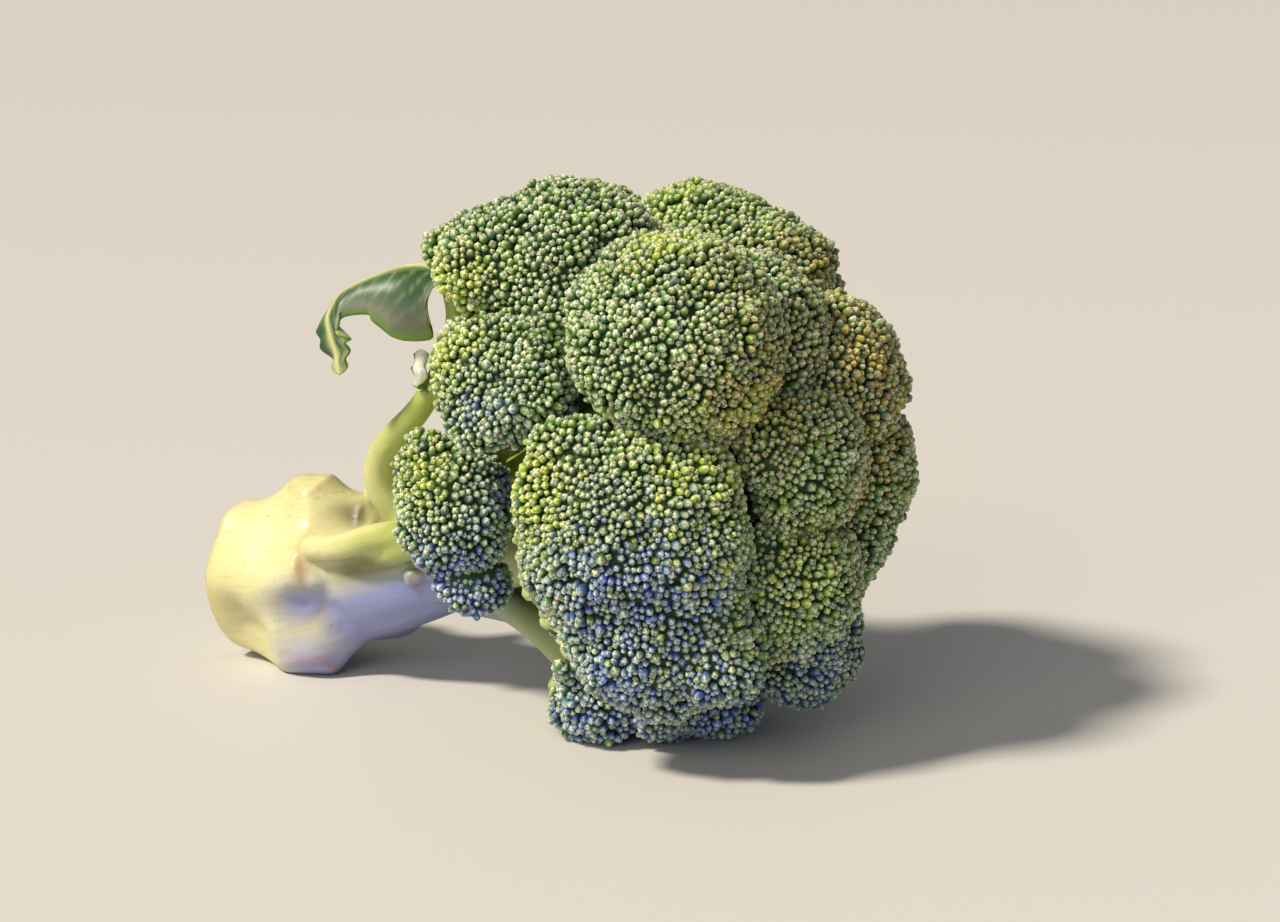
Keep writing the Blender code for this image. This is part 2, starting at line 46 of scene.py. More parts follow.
# The head's build, the same as in its solids: a place on the crown is a lean from the stalk's
# axis, a bearing round that axis (0 is up, 90 is towards -Y) and a reach from the crown's centre
CROWN_CENTRE = np.array([26.9, -2.2, 65.5])
AXIS_RISE = 20.0
INNER_RADIUS = 57.0
INNER_LEAN = 110.0
# Each floret: where its branch forks off, back along the stalk, and its lobes (lean, bearing,
# reach, radius)
FLORETS = {
    "floret_top_front": (50, [(78, 20, 48.5, 22), (93, 29, 56.5, 16)]),
    "floret_upper_front": (38, [(42, 52, 51.5, 25)]),
    "floret_rim_front": (62, [(94, 56, 43, 17), (85, 53, 38.5, 13)]),
    "floret_front": (52, [(60, 118, 37, 31), (84, 91, 43, 14), (72, 143, 46.5, 25), (63, 146, 64, 12)]),
    "floret_low_front": (84, [(129, 79, 44, 14), (127, 96, 46.5, 12.5), (127, 119, 51, 10)]),
    "floret_top_back": (42, [(66, -32, 49, 21), (49, -41, 50, 19.5)]),
    "floret_tip": (34, [(18, -75, 49, 21)]),
    "floret_tip_front": (34, [(17, 143, 49, 18)]),
    "floret_nose": (40, [(46, 167, 53.5, 17.5)]),
    "floret_nose_back": (38, [(33, -129, 50.5, 18), (44, -148, 50.5, 15.5)]),
    "floret_nose_low": (54, [(65, -172, 59.5, 15.5)]),
    "floret_under_front": (58, [(106, 162, 55.5, 14)]),
    "floret_under": (64, [(91, 168, 55, 14), (83, 176, 59, 12)]),
    "floret_tip_top": (34, [(24, 12, 46, 20)]),
    "floret_back_upper": (50, [(82, -66, 46, 22)]),
    "floret_back": (42, [(56, -96, 47, 22)]),
    "floret_back_lower": (52, [(70, -137, 48, 22)]),
    "floret_rim_back": (64, [(100, -103, 45, 18)]),
    "floret_under_back": (64, [(100, -156, 52, 17)]),
    "floret_low_back": (78, [(122, -68, 47, 15)]),
    "floret_rim_top": (60, [(94, -18, 52, 17)]),
}
GAP = 0.6               # between the solids of neighbours
BRANCH_RADIUS = 0.26    # as a share of its floret's largest lobe
BASE_ROOM = 1.0         # and added to that, at the floret's base
BASE_DEPTH = 0.62       # of a floret's base below its centre, as a share of its largest lobe
UNDERSIDE_ANGLE = 60.0  # of the cone that opens from a floret's base
BUD_LIMIT = 108.0       # buds grow up to this far from the way that their floret grows
BLEND = 1.2             # how softly a floret's lobes run together
# Clusters of bunches, which swell a floret's dome
CLUSTER_SPACING = 13.0
CLUSTER_HEIGHT = 2.6
CLUSTER_WIDTH = 10.0
CLUSTER_LEVEL = 0.6
CLUSTER_CANDIDATES = 1500
CLUSTER_ROUNDS = 6
CLUSTER_SEED = 7
RISE_AT_CROWN = 37.0    # the stalk's slope, which eases along its arc
RISE_AT_CUT = 6.0
STALK_CUT = 130.0
# distance back, radius
STALK_PROFILE = (
    (130, 17.2), (127.5, 18.4), (120, 18.8), (100, 19.0), (80, 17.6), (60, 15.5), (44, 13.0), (26, 7.0),
)
# ribs round the stalk, turn, height as a share of its radius
STALK_RIBS = ((3, 40, 0.03), (5, 0, 0.02))
SCAR_TAIL = 2.0         # how much longer a leaf scar fades out towards the cut end
# distance back, bearing, length along, width round, height
LEAF_SCARS = (
    (98, 5, 7, 9, 7.0), (102, 150, 9, 9, 8.5), (97, 98, 5, 9, 2.8), (92, 125, 6, 7, -2.6),
    (116, 128, 6, 6, -2.0), (112, -75, 8, 10, 4.0), (90, -140, 7, 9, 3.5), (88, -35, 6, 7, 3.0),
)
# A stub: where it starts, as a share of the stalk's radius, what of that its length gains, how far
# it leans towards the crown, and how much wider it starts
STUB_ROOT = 0.6
STUB_SUNK = 0.5
STUB_LEAN = 0.7
STUB_FLARE = 1.3
# A branch: how far behind its fork and off the stalk's axis it starts, its curve's handles, how
# far it spreads as it leaves, and its radius at the ends and what that loses half way
ROOT_DEPTH = 8.0
ROOT_OFFSET = 0.45
BRANCH_SWEEP = 0.36
BRANCH_SPREAD = 0.35
BRANCH_ENDS = 1.12
BRANCH_WAIST = 0.28
# The leafy shoot's route, from the crown's centre, and its radius at either end
SHOOT_ROUTE = (
    (-62, -3, -27), (-69, -7, -14), (-66, -9, -4), (-53, -12, 8), (-45, -13, 20), (-43, -11, 31),
    (-44.5, -11, 40),
)
SHOOT_RADII = (5.0, 2.2)
SHOOT_TAPER = 1.3
# The stalk, shoot and branches as rows of balls, which the florets keep clear of
STALK_ROOM = 1.5
STALK_BALLS = range(30, 130, 6)
SHOOT_BALLS = np.linspace(0, 1, 12)
BRANCH_BALLS = np.linspace(0.05, 0.97, 16)

# Real closed buds, at true size: about 2 mm across, packed close, in bunches of a dozen or so
# that stand a little above the gaps between them
BUD_PITCH = 2.0
BUD_PACKING = 0.84
BUD_CANDIDATE_AREA = 0.34
BUD_ROUNDS = 3          # of moving the buds apart until they are evenly spaced
BUD_NEIGHBOUR = 3       # a bud's second neighbour, since it is itself the nearest
BUD_FILL = 0.56         # its half width, as a share of how far away that one is
BUD_FILL_SPREAD = (0.88, 1.14)
BUD_RADII = (0.5, 1.4)
BUD_STRETCH = (1.1, 1.55)
BOLD_SHARE = 0.05       # of the buds, which are much larger than the rest
BOLD_SIZE = 1.32
FILL_GAP = 1.3          # a place this far from every bud gets a small one
FILL_PITCH = 1.25
FILL_SUNK = 0.45
BUD_LEAN = 0.28
BUD_FANNING = 0.3       # how far a bud turns from the surface's normal to its floret's growth
BUNCH_PITCH = 5.6
BUNCH_REACH = BUNCH_PITCH / 1.5
BUNCH_RISE = 0.55
BUNCH_PULL = 0.06
BUNCH_UNEVEN = 0.35     # how unevenly bunches stand
BUD_UNEVEN = 0.15       # and the buds in each
BUD_HIGHEST = 0.7
BUD_SUNK = 0.3
BUD_ROOM = 0.2
BUNCH_TONE = 0.16       # how much bunches differ in tone
BUD_TONE = (0.5, 0.26)  # and buds: the middle and the spread
RIM_WRAP = 3.4          # buds carry on this far under a floret's rim
RIM_ANGLE = 7.0
FLANK_WRAP = 20.0       # and this far down a flank that no neighbour hides
FLANK_GAP = 0.6         # a neighbour nearer than this hides a flank
PARTING_OVERLAP = 2.2   # soft neighbours press this far into each other
DEEP_RADIUS = 35.0      # a flank has no buds nearer than this to the crown's centre
EDGE_ROUND = 1.6
CORE_DEPTH = 1.3        # of the flesh that the buds stand in, under the floret's surface
# Painted shade: the dark flesh between the buds gives way to its paler colour below them
CORE_FADE = 50.0        # the flesh turns paler over this angle, below the lowest buds
NORMAL_STEP = 0.035
BUD_SEED = 207


def unit(vectors):
    return vectors / np.linalg.norm(vectors, axis=-1, keepdims=True)


def crown_direction(lean, bearing):
    lean, bearing, rise = (math.radians(angle) for angle in (lean, bearing, AXIS_RISE))
    axis = np.array([math.cos(rise), 0.0, math.sin(rise)])
    upward = np.array([-math.sin(rise), 0.0, math.cos(rise)])
    across = math.cos(bearing) * upward + math.sin(bearing) * FRONT
    return math.cos(lean) * axis + math.sin(lean) * across


def spread_directions(count):
    """Evenly spread directions, by the golden angle."""
    steps = np.arange(count) + 0.5
    height = 1 - 2 * steps / count
    turn = steps * math.pi * (3 - math.sqrt(5))
    flat = np.sqrt(1 - height**2)
    return np.stack([flat * np.cos(turn), flat * np.sin(turn), height], axis=1)


def stalk_rise(back):
    return np.radians(RISE_AT_CROWN + (RISE_AT_CUT - RISE_AT_CROWN) * back / STALK_CUT)


def stalk_place(back):
    """Places on the stalk's axis, an arc, at distances back along it from the crown's centre."""
    bend = (stalk_rise(STALK_CUT) - stalk_rise(0)) / STALK_CUT
    run = (np.sin(stalk_rise(back)) - np.sin(stalk_rise(0))) / bend
    drop = (np.cos(stalk_rise(0)) - np.cos(stalk_rise(back))) / bend
    return CROWN_CENTRE - np.stack([run, 0 * run, drop], axis=-1)


def stalk_direction(back):
    rise = stalk_rise(back)
    return np.stack([np.cos(rise), 0 * rise, np.sin(rise)], axis=-1)


def stalk_outward(back, bearing):
    rise = stalk_rise(back)
    upward = np.stack([-np.sin(rise), 0 * rise, np.cos(rise)], axis=-1)
    bearing = np.radians(bearing)[..., None]
    return np.cos(bearing) * upward + np.sin(bearing) * FRONT


def stalk_width(back):
    profile = sorted(STALK_PROFILE)
    return np.interp(back, [p[0] for p in profile], [p[1] for p in profile])


def around(bearing, middle):
    """A bearing measured from a middle one, from -180 to 180."""
    return (bearing - middle + 180) % 360 - 180


def scar_height(back, bearing, scar):
    """How far one leaf scar lifts the stalk's surface."""
    place, turn, length, across, height = scar
    round_by = np.radians(around(bearing, turn)) * stalk_width(back)
    stretch = length * np.where(back > place, SCAR_TAIL, 1.0)
    return height * np.exp(-(((back - place) / stretch) ** 2) - (round_by / across) ** 2)


def bezier(points, t):
    a, b, c, d = points
    return (1 - t) ** 3 * a + 3 * (1 - t) ** 2 * t * b + 3 * (1 - t) * t**2 * c + t**3 * d


def branch_route(floret):
    start = floret["fork"] + ROOT_DEPTH
    forward = stalk_direction(start)
    across = floret["centre"] - stalk_place(start)
    across = unit(across - (across @ forward) * forward)
    root = stalk_place(start) + ROOT_OFFSET * stalk_width(start) * across
    end = floret["base"] - GAP / 2 * floret["growth"]
    handle = np.linalg.norm(end - root) * BRANCH_SWEEP
    leave = unit(forward + BRANCH_SPREAD * across)
    return root, root + handle * leave, end - handle * floret["growth"], end


def branch_radius(floret, t):
    return floret["base_radius"] * (BRANCH_ENDS - BRANCH_WAIST * np.sin(np.pi * t))


def smooth_route(points, t):
    """A place on a smooth curve through all the points, for t from 0 to 1."""
    count = len(points) - 1
    k = min(int(t * count), count - 1)
    s = t * count - k
    before, a = points[max(k - 1, 0)], points[k]
    b, after = points[k + 1], points[min(k + 2, count)]
    bend = (2 * before - 5 * a + 4 * b - after) * s**2 + (3 * a - before - 3 * b + after) * s**3
    return a + 0.5 * ((b - before) * s + bend)


def shoot_place(t):
    return CROWN_CENTRE + smooth_route(np.array(SHOOT_ROUTE, dtype=float), t)


def shoot_radius(t):
    return SHOOT_RADII[0] + (SHOOT_RADII[1] - SHOOT_RADII[0]) * min(SHOOT_TAPER * t, 1.0)


def wood(florets):
    """Balls along the stalk, its leafy shoot and every branch, with the floret that each carries."""
    balls = [(stalk_place(back), stalk_width(back) + STALK_ROOM, None) for back in STALK_BALLS]
    balls += [(shoot_place(t), shoot_radius(t), None) for t in SHOOT_BALLS]
    for floret in florets:
        route = branch_route(floret)
        for t in BRANCH_BALLS:
            balls.append((bezier(route, t), branch_radius(floret, t), floret["name"]))
    return balls


def ball_exit(origin, directions, centre, radius):
    to_centre = centre - origin
    along = directions @ to_centre
    square = along**2 - to_centre @ to_centre + radius**2
    return np.where(square > 0, along + np.sqrt(np.maximum(square, 0)), 0.0)


def cone_exit(floret, directions):
    """How far from the floret's centre each direction leaves the cone that opens from its base."""
    narrow = math.cos(math.radians(UNDERSIDE_ANGLE))
    apex_depth = floret["base_radius"] / math.tan(math.radians(UNDERSIDE_ANGLE))
    start = floret["centre"] - floret["base"] + apex_depth * floret["growth"]
    a = (directions @ floret["growth"]) ** 2 - narrow**2
    b = (start @ floret["growth"]) * (directions @ floret["growth"]) - narrow**2 * (directions @ start)
    c = (start @ floret["growth"]) ** 2 - narrow**2 * (start @ start)
    root = np.sqrt(np.maximum(b * b - a * c, 0))
    far = np.full(len(directions), np.inf)
    for crossing in ((-b - root) / a, (-b + root) / a):
        far = np.where((crossing > 0) & (crossing < far), crossing, far)
    return far


def plane_exit(origin, directions, normal, offset):
    towards = directions @ normal
    room = offset - origin @ normal
    return np.where(towards > 1e-9, room / np.maximum(towards, 1e-9), np.inf)


def floret_bounds(floret, directions, overlap=0.0):
    """How far a floret's dome, its underside and its neighbours let it reach in each direction,
    and the angle of each direction from the way it grows."""
    centre = floret["centre"]
    exits = [ball_exit(centre, directions, place, radius) for place, radius in floret["balls"]]
    dome = BLEND * np.log(sum(np.exp(reach / BLEND) for reach in exits))
    if len(floret["clusters"]):
        points = centre + dome[:, None] * directions
        nearest = np.full(len(points), np.inf)
        for cluster in floret["clusters"]:
            nearest = np.minimum(nearest, np.linalg.norm(points - cluster, axis=1))
        swell = np.sqrt(np.maximum(1 - (nearest / CLUSTER_WIDTH) ** 2, 0))
        dome = dome + CLUSTER_HEIGHT * (swell - CLUSTER_LEVEL)
    limit = np.full(len(directions), np.inf)
    for normal, offset in floret["planes"]:
        limit = np.minimum(limit, plane_exit(centre, directions, normal, offset))
    for normal, offset in floret["partings"]:
        limit = np.minimum(limit, plane_exit(centre, directions, normal, offset + overlap))
    facing = np.degrees(np.arccos(np.clip(directions @ floret["growth"], -1, 1)))
    return dome, cone_exit(floret, directions), limit, facing


def floret_surface(floret, directions):
    """The solid floret's reach from its centre in each direction, and whether buds grow there."""
    dome, cone, limit, facing = floret_bounds(floret, directions)
    limit = np.minimum(limit, cone)
    return np.minimum(dome, limit), (dome < limit - BUD_ROOM) & (facing < BUD_LIMIT)


def soft_surface(floret, directions):
    """The same with its edges rounded, and where buds may grow: on the dome and a little under its
    rim, or down its flanks."""
    dome, cone, limit, facing = floret_bounds(floret, directions, PARTING_OVERLAP)
    edge = np.minimum(limit, cone)
    reach = np.minimum(dome, edge) - EDGE_ROUND * np.exp(-np.abs(dome - edge) / EDGE_ROUND)
    grows = (dome < cone + RIM_WRAP) & (dome < limit + FLANK_WRAP) & (facing < BUD_LIMIT + RIM_ANGLE)
    return reach, grows & (dome < limit - BUD_ROOM), grows & (dome >= limit - BUD_ROOM)


def in_the_open(floret, places, florets):
    """Which places on a floret's flanks no other floret covers."""
    free = np.linalg.norm(places - CROWN_CENTRE, axis=1) > DEEP_RADIUS
    for other in florets:
        offset = places - other["centre"]
        apart = np.linalg.norm(offset, axis=1)
        near = np.flatnonzero(free & (apart < other["widest"] + CLUSTER_HEIGHT + FLANK_GAP))
        if other is not floret and len(near):
            reach, _ = floret_surface(other, offset[near] / apart[near, None])
            free[near[apart[near] < reach + FLANK_GAP]] = False
    return free


def spaced_choice(points, spacing, rng):
    """Indices of points that are at least the spacing apart, picked in a random order."""
    chosen = []
    for i in rng.permutation(len(points)):
        if not chosen or np.linalg.norm(points[chosen] - points[i], axis=1).min() > spacing:
            chosen.append(i)
    return np.array(chosen)


def tree_of(targets):
    tree = kdtree.KDTree(len(targets))
    for k, target in enumerate(targets):
        tree.insert(target, k)
    tree.balance()
    return tree


def nearest_of(points, targets):
    """For each point, which target is nearest."""
    tree = tree_of(targets)
    return np.array([tree.find(point)[1] for point in points])


def how_far(points, targets, count):
    """For each point, how far the count-th nearest target is."""
    tree = tree_of(targets)
    return np.array([tree.find_n(point, count)[-1][2] for point in points])


def evened(points, chosen, weights, rounds):
    """The chosen points, each moved to the candidate in the middle of the area nearest to it."""
    for _ in range(rounds):
        nearest = nearest_of(points, points[chosen])
        share = np.bincount(nearest, weights, len(chosen))
        sums = [np.bincount(nearest, weights * column, len(chosen)) for column in points.T]
        middles = np.stack(sums, axis=1) / np.maximum(share, 1e-9)[:, None]
        chosen = np.unique(nearest_of(middles, points))
    return chosen


def planned_clusters(points, weights, rng):
    """The middles of a floret's clusters, found the same way as for its solid."""
    chosen = spaced_choice(points, CLUSTER_SPACING, rng)
    for _ in range(CLUSTER_ROUNDS):
        nearest = np.linalg.norm(points[:, None, :] - points[chosen][None, :, :], axis=2).argmin(axis=1)
        for k in range(len(chosen)):
            own = np.flatnonzero(nearest == k)
            middle = np.average(points[own], axis=0, weights=weights[own])
            chosen[k] = own[np.linalg.norm(points[own] - middle, axis=1).argmin()]
    return points[chosen]


def parting_plane(first, second):
    """The plane that parts two florets: where their two most deeply meeting lobes cross."""
    pairs = [
        (a[1] + b[1] - np.linalg.norm(a[0] - b[0]), i, j)
        for i, a in enumerate(first["lobes"])
        for j, b in enumerate(second["lobes"])
    ]
    _, i, j = max(pairs)
    (place_a, radius_a), (place_b, radius_b) = first["lobes"][i], second["lobes"][j]
    apart = np.linalg.norm(place_b - place_a)
    normal = (place_b - place_a) / apart
    return normal, place_a @ normal + (apart**2 + radius_a**2 - radius_b**2) / (2 * apart)


def plan_florets():
    """Every floret's lobes, centre, growth direction, base and the planes that bound it."""
    florets = []
    for name, (fork, lobes) in FLORETS.items():
        balls = [
            (CROWN_CENTRE + reach * crown_direction(lean, bearing), radius)
            for lean, bearing, reach, radius in lobes
        ]
        main = max(radius for _, radius in balls)
        weights = [radius**2 for _, radius in balls]
        centre = np.average([place for place, _ in balls], axis=0, weights=weights)
        growth = unit(centre - stalk_place(fork))
        florets.append({
            "name": name,
            "lobes": balls,
            "balls": balls + ([(CROWN_CENTRE, INNER_RADIUS)] if lobes[0][0] < INNER_LEAN else []),
            "fork": fork,
            "centre": centre,
            "growth": growth,
            "base": centre - BASE_DEPTH * main * growth,
            "base_radius": BRANCH_RADIUS * main + BASE_ROOM,
            "widest": max(np.linalg.norm(place - centre) + radius for place, radius in balls),
            "clusters": np.zeros((0, 3)),
        })
    balls = wood(florets)
    for floret in florets:
        planes = [(-floret["growth"], -floret["base"] @ floret["growth"]), (-UP, 0.0)]
        partings = []
        for other in florets:
            if other is not floret:
                normal, offset = parting_plane(floret, other)
                partings.append((normal, offset - GAP / 2))
        for place, radius, carried in balls:
            if carried != floret["name"]:
                normal = unit(place - floret["centre"])
                planes.append((normal, place @ normal - radius - GAP))
        floret["planes"], floret["partings"] = planes, partings
    candidates = spread_directions(CLUSTER_CANDIDATES)
    for index, floret in enumerate(florets):
        rng = np.random.default_rng(CLUSTER_SEED + index)
        reach, buds = floret_surface(floret, candidates)
        points = (floret["centre"] + reach[:, None] * candidates)[buds]
        floret["clusters"] = planned_clusters(points, reach[buds] ** 2, rng)
    return florets


def colour(code):
    """An sRGB hex colour as the linear colour that a shader takes."""
    channels = [int(code[i:i + 2], 16) / 255 for i in (1, 3, 5)]
    linear = [c / 12.92 if c <= 0.04045 else ((c + 0.055) / 1.055) ** 2.4 for c in channels]
    return (*linear, 1.0)


def add_node(tree, kind, inputs, **settings):
    """Adds a shader node with its settings, and fills or links its inputs."""
    node = tree.nodes.new("ShaderNode" + kind)
    for name, value in settings.items():
        setattr(node, name, value)
    for socket, value in inputs.items():
        if isinstance(value, bpy.types.NodeSocket):
            tree.links.new(value, node.inputs[socket])
        else:
            node.inputs[socket].default_value = value
    return node


# The sockets of a Mix node that mixes colours
FACTOR, COLOUR_A, COLOUR_B, MIXED = 0, 6, 7, 2


def scale_of(size):
    """A pattern's scale on Object coordinates, from the size of its marks."""
    return 1 / (size * MM)


def new_material(name, **settings):
    """A material, its node tree and its shader, with constants on the shader's sockets."""
    material = bpy.data.materials.new(name)
    material.use_nodes = True
    shader = material.node_tree.nodes["Principled BSDF"]
    for socket, value in settings.items():
        shader.inputs[socket.replace("_", " ")].default_value = value
    return material, material.node_tree, shader


def waxy_bud_skin():
    """Closed broccoli buds: grown sepals with a thin wax bloom, which makes them matte
    green and paler at their tips, that pallor partly a painted highlight, with yellow, blue-violet and ochre
    patches where the crown is young, shaded or ageing, the blue-violet partly bloom and partly painted cool
    shade.
    Painted shade darkens the creases, the hole between parted sepals and each bud's foot."""
    material, tree, shader = new_material(
        "waxy_bud_skin", Roughness=0.4, IOR=1.45, Sheen_Weight=0.1,
        Subsurface_Weight=0.06, Subsurface_Radius=(1.0, 1.0, 0.4), Subsurface_Scale=1.0 * MM,
    )
    place = add_node(tree, "TexCoord", {}).outputs["Object"]
    tip, painted_crease_shade, tone = (
        add_node(tree, "Attribute", {}, attribute_name=mark).outputs["Fac"]
        for mark in ("tip", "painted_crease_shade", "tone")
    )
    patch = add_node(tree, "Attribute", {}, attribute_name="patch").outputs["Vector"]
    yellow, blue, ochre = add_node(tree, "SeparateXYZ", {0: patch}).outputs
    tip_bloom_and_cool_shade = add_node(tree, "Math", {0: blue, 1: 0.6}, operation="MULTIPLY").outputs[0]
    noise = {"Vector": place, "Scale": scale_of(16.667), "Detail": 2.0}
    blotch = add_node(tree, "TexNoise", noise).outputs["Fac"]
    # What each fade reads, from where to where, and what it gives at either end
    # The last fade darkens each bud towards its foot: painted shade between the buds
    fades = ((blotch, 0.5, 0.7, 0.0, 0.5), (tip, 0.7, 0.97, 0.0, 1.0), (tip, 0.12, 0.6, 0.08, 1.0))
    deep, pale_tip_and_highlight, painted_foot_shade = (add_node(tree, "MapRange", dict(enumerate(row))).outputs[0] for row in fades)
    body = colour("#1E4A16")
    body_tints = (
        (tone, "#6BA330"), (ochre, "#83701C"), (yellow, "#A2BE28"), (blue, "#3A56A8"), (deep, "#2B401F"),
    )
    for factor, tint in body_tints:
        inputs = {FACTOR: factor, COLOUR_A: body, COLOUR_B: colour(tint)}
        body = add_node(tree, "Mix", inputs, data_type="RGBA").outputs[MIXED]
    # The pale tip colour turns pale blue where the blue patches paint cool shade
    pale = colour("#BCCB8C")
    for factor, tint in ((tone, "#FFFCDC"), (ochre, "#EDD36A"), (yellow, "#F8F684"), (tip_bloom_and_cool_shade, "#A9C4EE")):
        inputs = {FACTOR: factor, COLOUR_A: pale, COLOUR_B: colour(tint)}
        pale = add_node(tree, "Mix", inputs, data_type="RGBA").outputs[MIXED]
    # Over the body: the pale tips, partly a painted highlight, then painted shade in the creases and at each
    # bud's foot
    skin = body
    layers = ((pale_tip_and_highlight, pale, "MIX"), (painted_crease_shade, colour("#20381C"), "MIX"), (1.0, painted_foot_shade, "MULTIPLY"))
    for factor, second, way in layers:
        inputs = {FACTOR: factor, COLOUR_A: skin, COLOUR_B: second}
        skin = add_node(tree, "Mix", inputs, data_type="RGBA", blend_type=way).outputs[MIXED]
    tree.links.new(skin, shader.inputs["Base Color"])
    return material


def flesh_and_shade_between_buds():
    """Broccoli flesh that the buds stand in: moist and dull, its dark green between them painted shade,
    and paler towards the branch, below the lowest buds."""
    material, tree, shader = new_material("flesh_and_shade_between_buds", Roughness=0.65, IOR=1.4)
    place = add_node(tree, "TexCoord", {}).outputs["Object"]
    under = add_node(tree, "Attribute", {}, attribute_name="tip").outputs["Fac"]
    noise = {"Vector": place, "Scale": scale_of(2.5), "Detail": 3.0}
    cloud = add_node(tree, "TexNoise", noise).outputs["Fac"]
    shades = []
    # The dark pair is painted shade between the buds; the pale pair is the flesh below the lowest buds
    for low, high in (("#16280C", "#37561E"), ("#5F7A36", "#8CA257")):
        inputs = {FACTOR: cloud, COLOUR_A: colour(low), COLOUR_B: colour(high)}
        shades.append(add_node(tree, "Mix", inputs, data_type="RGBA").outputs[MIXED])
    inputs = {FACTOR: under, COLOUR_A: shades[0], COLOUR_B: shades[1]}
    flesh = add_node(tree, "Mix", inputs, data_type="RGBA")
    tree.links.new(flesh.outputs[MIXED], shader.inputs["Base Color"])
    return material


def pale_stem_skin():
    """The skin of small broccoli stems under a floret: grown smooth and juicy, pale green and a
    little see-through."""
    material, tree, shader = new_material(
        "pale_stem_skin", Roughness=0.42, IOR=1.42,
        Subsurface_Weight=0.2, Subsurface_Radius=(1.0, 1.0, 0.4), Subsurface_Scale=2.0 * MM,
    )
    place = add_node(tree, "TexCoord", {}).outputs["Object"]
    noise = {"Vector": place, "Scale": scale_of(6.25), "Detail": 4.0}
    cloud = add_node(tree, "TexNoise", noise).outputs["Fac"]
    inputs = {FACTOR: cloud, COLOUR_A: colour("#8CA557"), COLOUR_B: colour("#C6CF8C")}
    skin = add_node(tree, "Mix", inputs, data_type="RGBA")
    tree.links.new(skin.outputs[MIXED], shader.inputs["Base Color"])
    return material


def stalk_skin():
    """Broccoli rind: grown smooth and waxy, cream-green with faint long fibres, pinkish-brown edges
    round the leaf scars, painted olive shade in its hollows and under the side branch, and a blue-violet low
    down that is partly wax bloom and partly painted cool shade. The cut end shows pale pith, a ring of fibre
    bundles and a drying edge."""
    material, tree, shader = new_material(
        "waxy_stalk_rind", Roughness=0.42, IOR=1.45, Coat_Weight=0.2, Coat_Roughness=0.35,
        Subsurface_Weight=0.2, Subsurface_Radius=(1.0, 1.0, 0.5), Subsurface_Scale=3.0 * MM,
    )
    place = add_node(tree, "TexCoord", {}).outputs["Object"]
    grain, marks, tints = (
        add_node(tree, "Attribute", {}, attribute_name=mark).outputs["Vector"]
        for mark in ("grain", "marks", "tints")
    )
    scar, bloom, green = add_node(tree, "SeparateXYZ", {0: marks}).outputs
    olive_shade, cut, share = add_node(tree, "SeparateXYZ", {0: tints}).outputs
    # The grain is already as wide and long as the fibres
    noises = ((place, scale_of(11.111), 4.0), (place, scale_of(1.1111), 2.0), (grain, 1.0, 5.0))
    cloud, fleck, fibre = (
        add_node(tree, "TexNoise", {"Vector": vector, "Scale": scale, "Detail": detail}).outputs["Fac"]
        for vector, scale, detail in noises
    )
    pores = add_node(tree, "TexVoronoi", {"Vector": place, "Scale": scale_of(1.42857)}).outputs["Distance"]
    # What each fade reads, from where to where, and what it gives at either end
    fades = (
        (fibre, 0.52, 0.72, 0.0, 0.45), (cloud, 0.35, 0.65, 0.35, 1.0), (fleck, 0.66, 0.74, 0.0, 0.35),
        (pores, 0.1, 0.5, 0.35, 0.0),
    )
    streak, worn, speck, pith = (
        add_node(tree, "MapRange", dict(enumerate(row))).outputs[0] for row in fades
    )
    scarred = add_node(tree, "Math", {0: scar, 1: worn}, operation="MULTIPLY").outputs[0]
    skin = colour("#C2BC78")
    # The olive tint is painted shade, and the blue-violet bloom is partly wax bloom and partly painted cool
    # shade
    rind_tints = (
        (cloud, "#DED6A6"), (green, "#96A544"), (olive_shade, "#504B1C"), (streak, "#A7AE5C"), (bloom, "#747AB6"),
        (scarred, "#A9713F"), (speck, "#8D7A42"),
    )
    for factor, tint in rind_tints:
        inputs = {FACTOR: factor, COLOUR_A: skin, COLOUR_B: colour(tint)}
        skin = add_node(tree, "Mix", inputs, data_type="RGBA").outputs[MIXED]
    rings = add_node(tree, "ValToRGB", {0: share})
    elements = rings.color_ramp.elements
    elements[0].color = colour("#E4E5BC")
    elements[1].position, elements[1].color = 0.97, colour("#A98A58")
    for position, code in ((0.55, "#DCE0AC"), (0.72, "#C3CD86"), (0.78, "#E9E6C2"), (0.90, "#D2CF94")):
        elements.new(position).color = colour(code)
    inputs = {FACTOR: pith, COLOUR_A: rings.outputs["Color"], COLOUR_B: colour("#A8A86C")}
    face = add_node(tree, "Mix", inputs, data_type="RGBA").outputs[MIXED]
    inputs = {FACTOR: cut, COLOUR_A: skin, COLOUR_B: face}
    skin = add_node(tree, "Mix", inputs, data_type="RGBA").outputs[MIXED]
    tree.links.new(skin, shader.inputs["Base Color"])
    bump = add_node(tree, "Bump", {"Height": fibre, "Strength": 0.3, "Distance": 0.4 * MM})
    tree.links.new(bump.outputs["Normal"], shader.inputs["Normal"])
    return material


